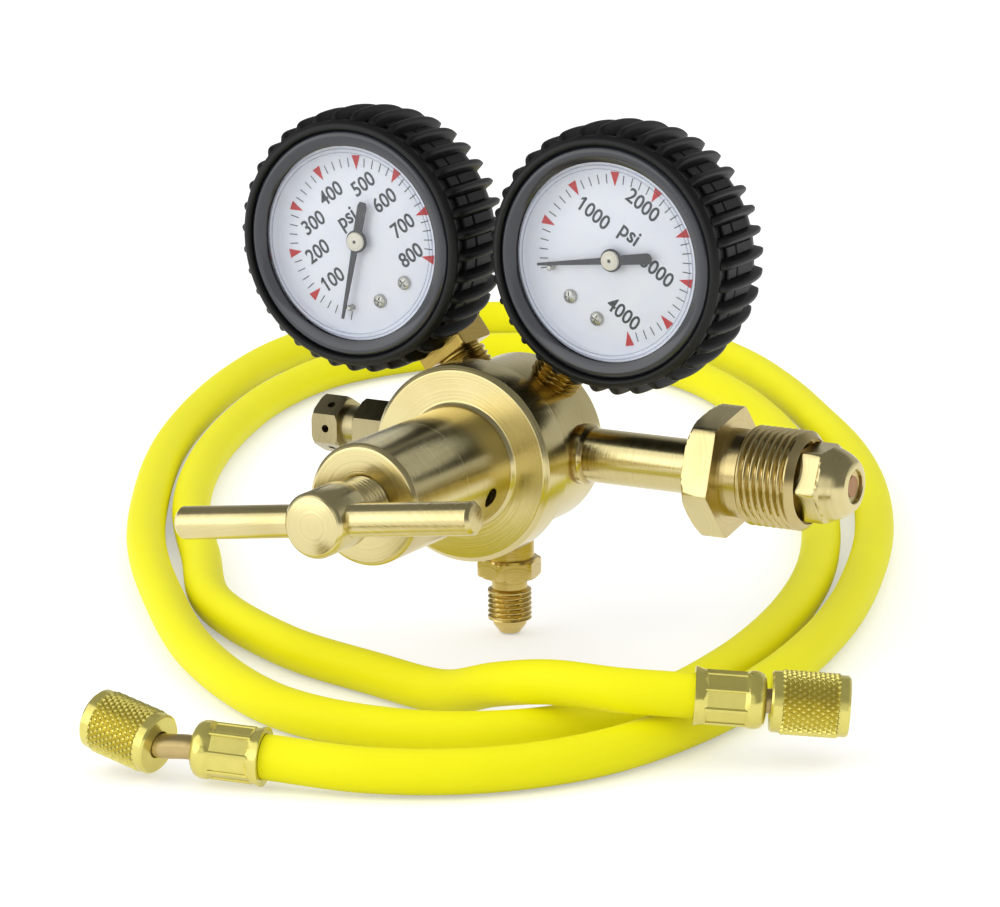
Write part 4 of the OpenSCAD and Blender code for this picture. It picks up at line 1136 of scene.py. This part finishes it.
    def stem(self, side, place, paints):
        """Wrench block and tapered thread under a gauge."""
        block, corner, flat, neck, thread, end, bore = BLOCK_END[side], 9.7, 7.0, 5.6, 6.5, 44.3, 1.5
        thread_start, thread_end = block + 1.3, 43.3
        profile = [(0, 22.3), (corner, 22.3, flat), (corner, block - 0.5, flat), (9.2, block, 6.9),
                   (6.2, block), (neck, block + 0.3), (neck, block + 0.8), (thread, thread_start),
                   (thread, thread_end), (5.9, end), (bore, end), (bore, 40), (0, 40)]
        mesh = threaded(profile, thread_start, thread_end, 1.411, 0.85, thread, paints["stem"], 96,
                        sides=4, turn=-math.pi / 4)
        down = place @ Matrix.Translation((0, 0, -11.5)) @ Matrix.Rotation(math.pi / 2, 4, "X")
        piece("Stem_" + side, mesh, down, "regulator", "stem_" + side)


class REGULATOR_OT_boots(bpy.types.Operator):
    """Finned rubber boots"""
    bl_idname = "regulator.boots"
    bl_label = "Boots"

    def execute(self, context):
        settings = context.scene.regulator.boot
        paint, count = palette()["boot"], settings.fins
        step = 2 * math.pi / count
        for side, lean in zip(SIDES, (settings.lean_left, settings.lean_right)):
            place, start = gauge_place(side), math.pi / 2 - lean
            piece("Boot_" + side, boot_mesh(), place, "regulator", "boot_" + side, paint)
            fins = ring_of(fin_mesh(), paint, count, start, -step)
            piece("Fins_" + side, fins, place, "regulator", crease=50)
            treads = ring_of(tread_mesh(), paint, count, start - step / 2, -step)
            piece("Treads_" + side, treads, place, "regulator", crease=35)
        return {"FINISHED"}


def boot_mesh():
    """The boot's shell: it holds the case from behind and rolls over the bezel in a soft ring."""
    hole, inside, wall, lip, outside = 18, 26.2, 27.4, 28.7, 30.2
    return lathe(soften(
        [(hole, -19.0), (inside, -19.0), (inside, -2.5), (wall, -2.5), (wall, 4.9), (lip, 4.9),
         (lip, 5.9), (29.3, 6.6), (30.3, 6.4), (31.2, 5.3), (31.2, 4.3), (outside, 3.3),
         (outside, -14.5), (29.0, -17.8), (27.2, -19.8), (25.7, -20.5), (hole, -20.5)], 0.9, 4),
        180, closed=True)


def fin_mesh():
    """One fin, X its radius and Z the front: swept from the front ring back to a proud tip."""
    root = smooth([(29.6, 4.6), (29.6, 3.0), (29.6, 0), (29.6, -4.5), (29.6, -9), (29.4, -13.5),
                   (28.4, -17.5), (26.6, -19.8)], 3)
    crest = smooth([(31.5, 5.0), (32.8, 3.6), (33.35, 1.2), (33.5, -4), (33.2, -9), (32.4, -14),
                    (31.2, -18), (29.5, -21.6)], 3)
    # The share of the fin's height, and half its width there. It narrows at its last two stations.
    section = [(0, 1.8), (0.15, 1.45), (0.4, 1.2), (0.7, 1.0), (0.88, 0.8), (0.96, 0.55), (1, 0.2)]
    section += [(t, -half) for t, half in reversed(section)]
    widths = [1.0] * (len(root) - 2) + [0.8, 0.45]
    verts, faces = [], []
    n = len(section)
    for low, high, width in zip(root, crest, widths):
        for t, half in section:
            point = low.lerp(high, t)
            verts.append((point.x, half * width, point.y))
    for k in range(len(root) - 1):
        faces += [(k * n + j, k * n + (j + 1) % n, (k + 1) * n + (j + 1) % n, (k + 1) * n + j)
                  for j in range(n)]
    faces += [tuple(range(n)), tuple(range(len(verts) - n, len(verts)))]
    return sealed(mesh_of("fin", verts, faces))


def tread_mesh():
    """The two raised blocks between one fin and the next."""
    foot, half, bevel = 29.9, 1.35, 0.25
    verts, faces = [], []
    for top, back, front in ((31.0, -4.2, 0.4), (30.9, -12.6, -4.9)):
        base = len(verts)
        for radius, inset in ((foot, 0), (top - bevel, 0), (top, bevel)):
            for side, z in ((-1, back + inset), (1, back + inset), (1, front - inset),
                            (-1, front - inset)):
                verts.append((radius, side * (half - inset), z))
        for low in (base, base + 4):
            faces += [(low + k, low + (k + 1) % 4, low + 4 + (k + 1) % 4, low + 4 + k) for k in range(4)]
        faces += [tuple(base + k for k in range(4)), tuple(base + 8 + k for k in range(4))]
    return sealed(mesh_of("treads", verts, faces))


class REGULATOR_OT_stage(bpy.types.Operator):
    """Floor, world and lamp"""
    bl_idname = "regulator.stage"
    bl_label = "Stage"

    def execute(self, context):
        scene = context.scene
        scene.view_settings.view_transform = "Standard"
        reach, drop = 6, 0.0005
        corners = [(-reach, -reach, 0), (reach, -reach, 0), (reach, reach, 0), (-reach, reach, 0)]
        floor = in_scene("Floor", mesh_of("Floor", corners, [(0, 1, 2, 3)]))
        floor.location.z = -drop
        floor.data.materials.append(self.floor_paint())
        self.world(scene)
        centre = AXIS + Vector((-0.03, 0.05, 0))
        self.lamp("Key", centre + Vector((-0.75, -1.15, 0.62)), centre, size=1.7, power=8)
        return {"FINISHED"}

    def floor_paint(self):
        """White, with a glow that lifts it where the camera or a reflection sees it."""
        paint = Paint("Floor white")
        tree = paint.tree
        rays = tree.nodes.new("ShaderNodeLightPath")
        seen = (out(rays, "Is Camera Ray") + out(rays, "Is Glossy Ray")
                + out(rays, "Is Transmission Ray")).below(1.0)
        white = paint.mix(paint.noise(3.0), rgb(0.80, 0.80, 0.80), rgb(0.82, 0.82, 0.82))
        lit = out(add(tree, "ShaderNodeBsdfDiffuse", {"Color": white}))
        glow = out(add(tree, "ShaderNodeEmission", {"Color": rgb(1, 1, 1), "Strength": seen * 0.36}))
        return paint.finish(out(add(tree, "ShaderNodeAddShader", {0: lit, 1: glow})))

    def world(self, scene):
        """White behind all, even light on dull surfaces, and a room for polished ones to mirror: dark
        above, with a bright low wall in front and a dimmer one behind."""
        dark, front_wall, rear_wall, even = 0.21, 0.72, 0.34, 0.93
        world = bpy.data.worlds.new("Studio")
        scene.world = world
        world.use_nodes = True
        tree = world.node_tree
        tree.nodes.clear()
        rays = tree.nodes.new("ShaderNodeLightPath")
        seen = (out(rays, "Is Camera Ray") + out(rays, "Is Transmission Ray")).below(1.0)
        mirrored = out(rays, "Is Glossy Ray")
        x, y, z = split(tree, out(add(tree, "ShaderNodeTexCoord"), "Generated"))
        front = x * -0.45 - y * 0.89
        low = 1.0 - z.step(0.36, 0.66)
        walls = front_wall * front.step(0.25, 0.60) + rear_wall * (0.0 - front).step(0.1, 0.6)
        sky = mirrored * (dark + low * walls) + (1.0 - mirrored) * even
        strength = seen + (1.0 - seen) * sky
        back = out(add(tree, "ShaderNodeBackground", {"Color": rgb(1, 1, 1), "Strength": strength}))
        add(tree, "ShaderNodeOutputWorld", {"Surface": back})

    def lamp(self, name, place, target, size, power):
        """A round soft lamp that looks at its target."""
        data = bpy.data.lights.new(name, "AREA")
        data.shape = "DISK"
        data.size = size
        data.energy = power
        turn = (target - place).to_track_quat("-Z", "Y").to_matrix().to_4x4()
        in_scene(name, data).matrix_world = Matrix.Translation(place) @ turn


class REGULATOR_PT_panel(bpy.types.Panel):
    bl_label = "Gas regulator set"
    bl_space_type = "VIEW_3D"
    bl_region_type = "UI"
    bl_category = "Regulator"

    def draw(self, context):
        for name in STEPS:
            self.layout.operator("regulator." + name)


STEPS = ("camera", "body", "hose", "screw", "springs", "inlet", "outlet", "gauges", "boots", "stage")
CLASSES = (
    StageSettings, HoseSettings, DialSettings, BootSettings, RegulatorSettings, REGULATOR_OT_camera,
    REGULATOR_OT_hose, REGULATOR_OT_body, REGULATOR_OT_screw, REGULATOR_OT_springs,
    REGULATOR_OT_inlet, REGULATOR_OT_outlet, REGULATOR_OT_gauges, REGULATOR_OT_boots,
    REGULATOR_OT_stage, REGULATOR_PT_panel)


def register():
    for thing in CLASSES:
        bpy.utils.register_class(thing)
    bpy.types.Scene.regulator = PointerProperty(type=RegulatorSettings)


def unregister():
    del bpy.types.Scene.regulator
    for thing in reversed(CLASSES):
        bpy.utils.unregister_class(thing)


def main():
    register()
    for name in STEPS:
        getattr(bpy.ops.regulator, name)()


if __name__ == "__main__":
    main()
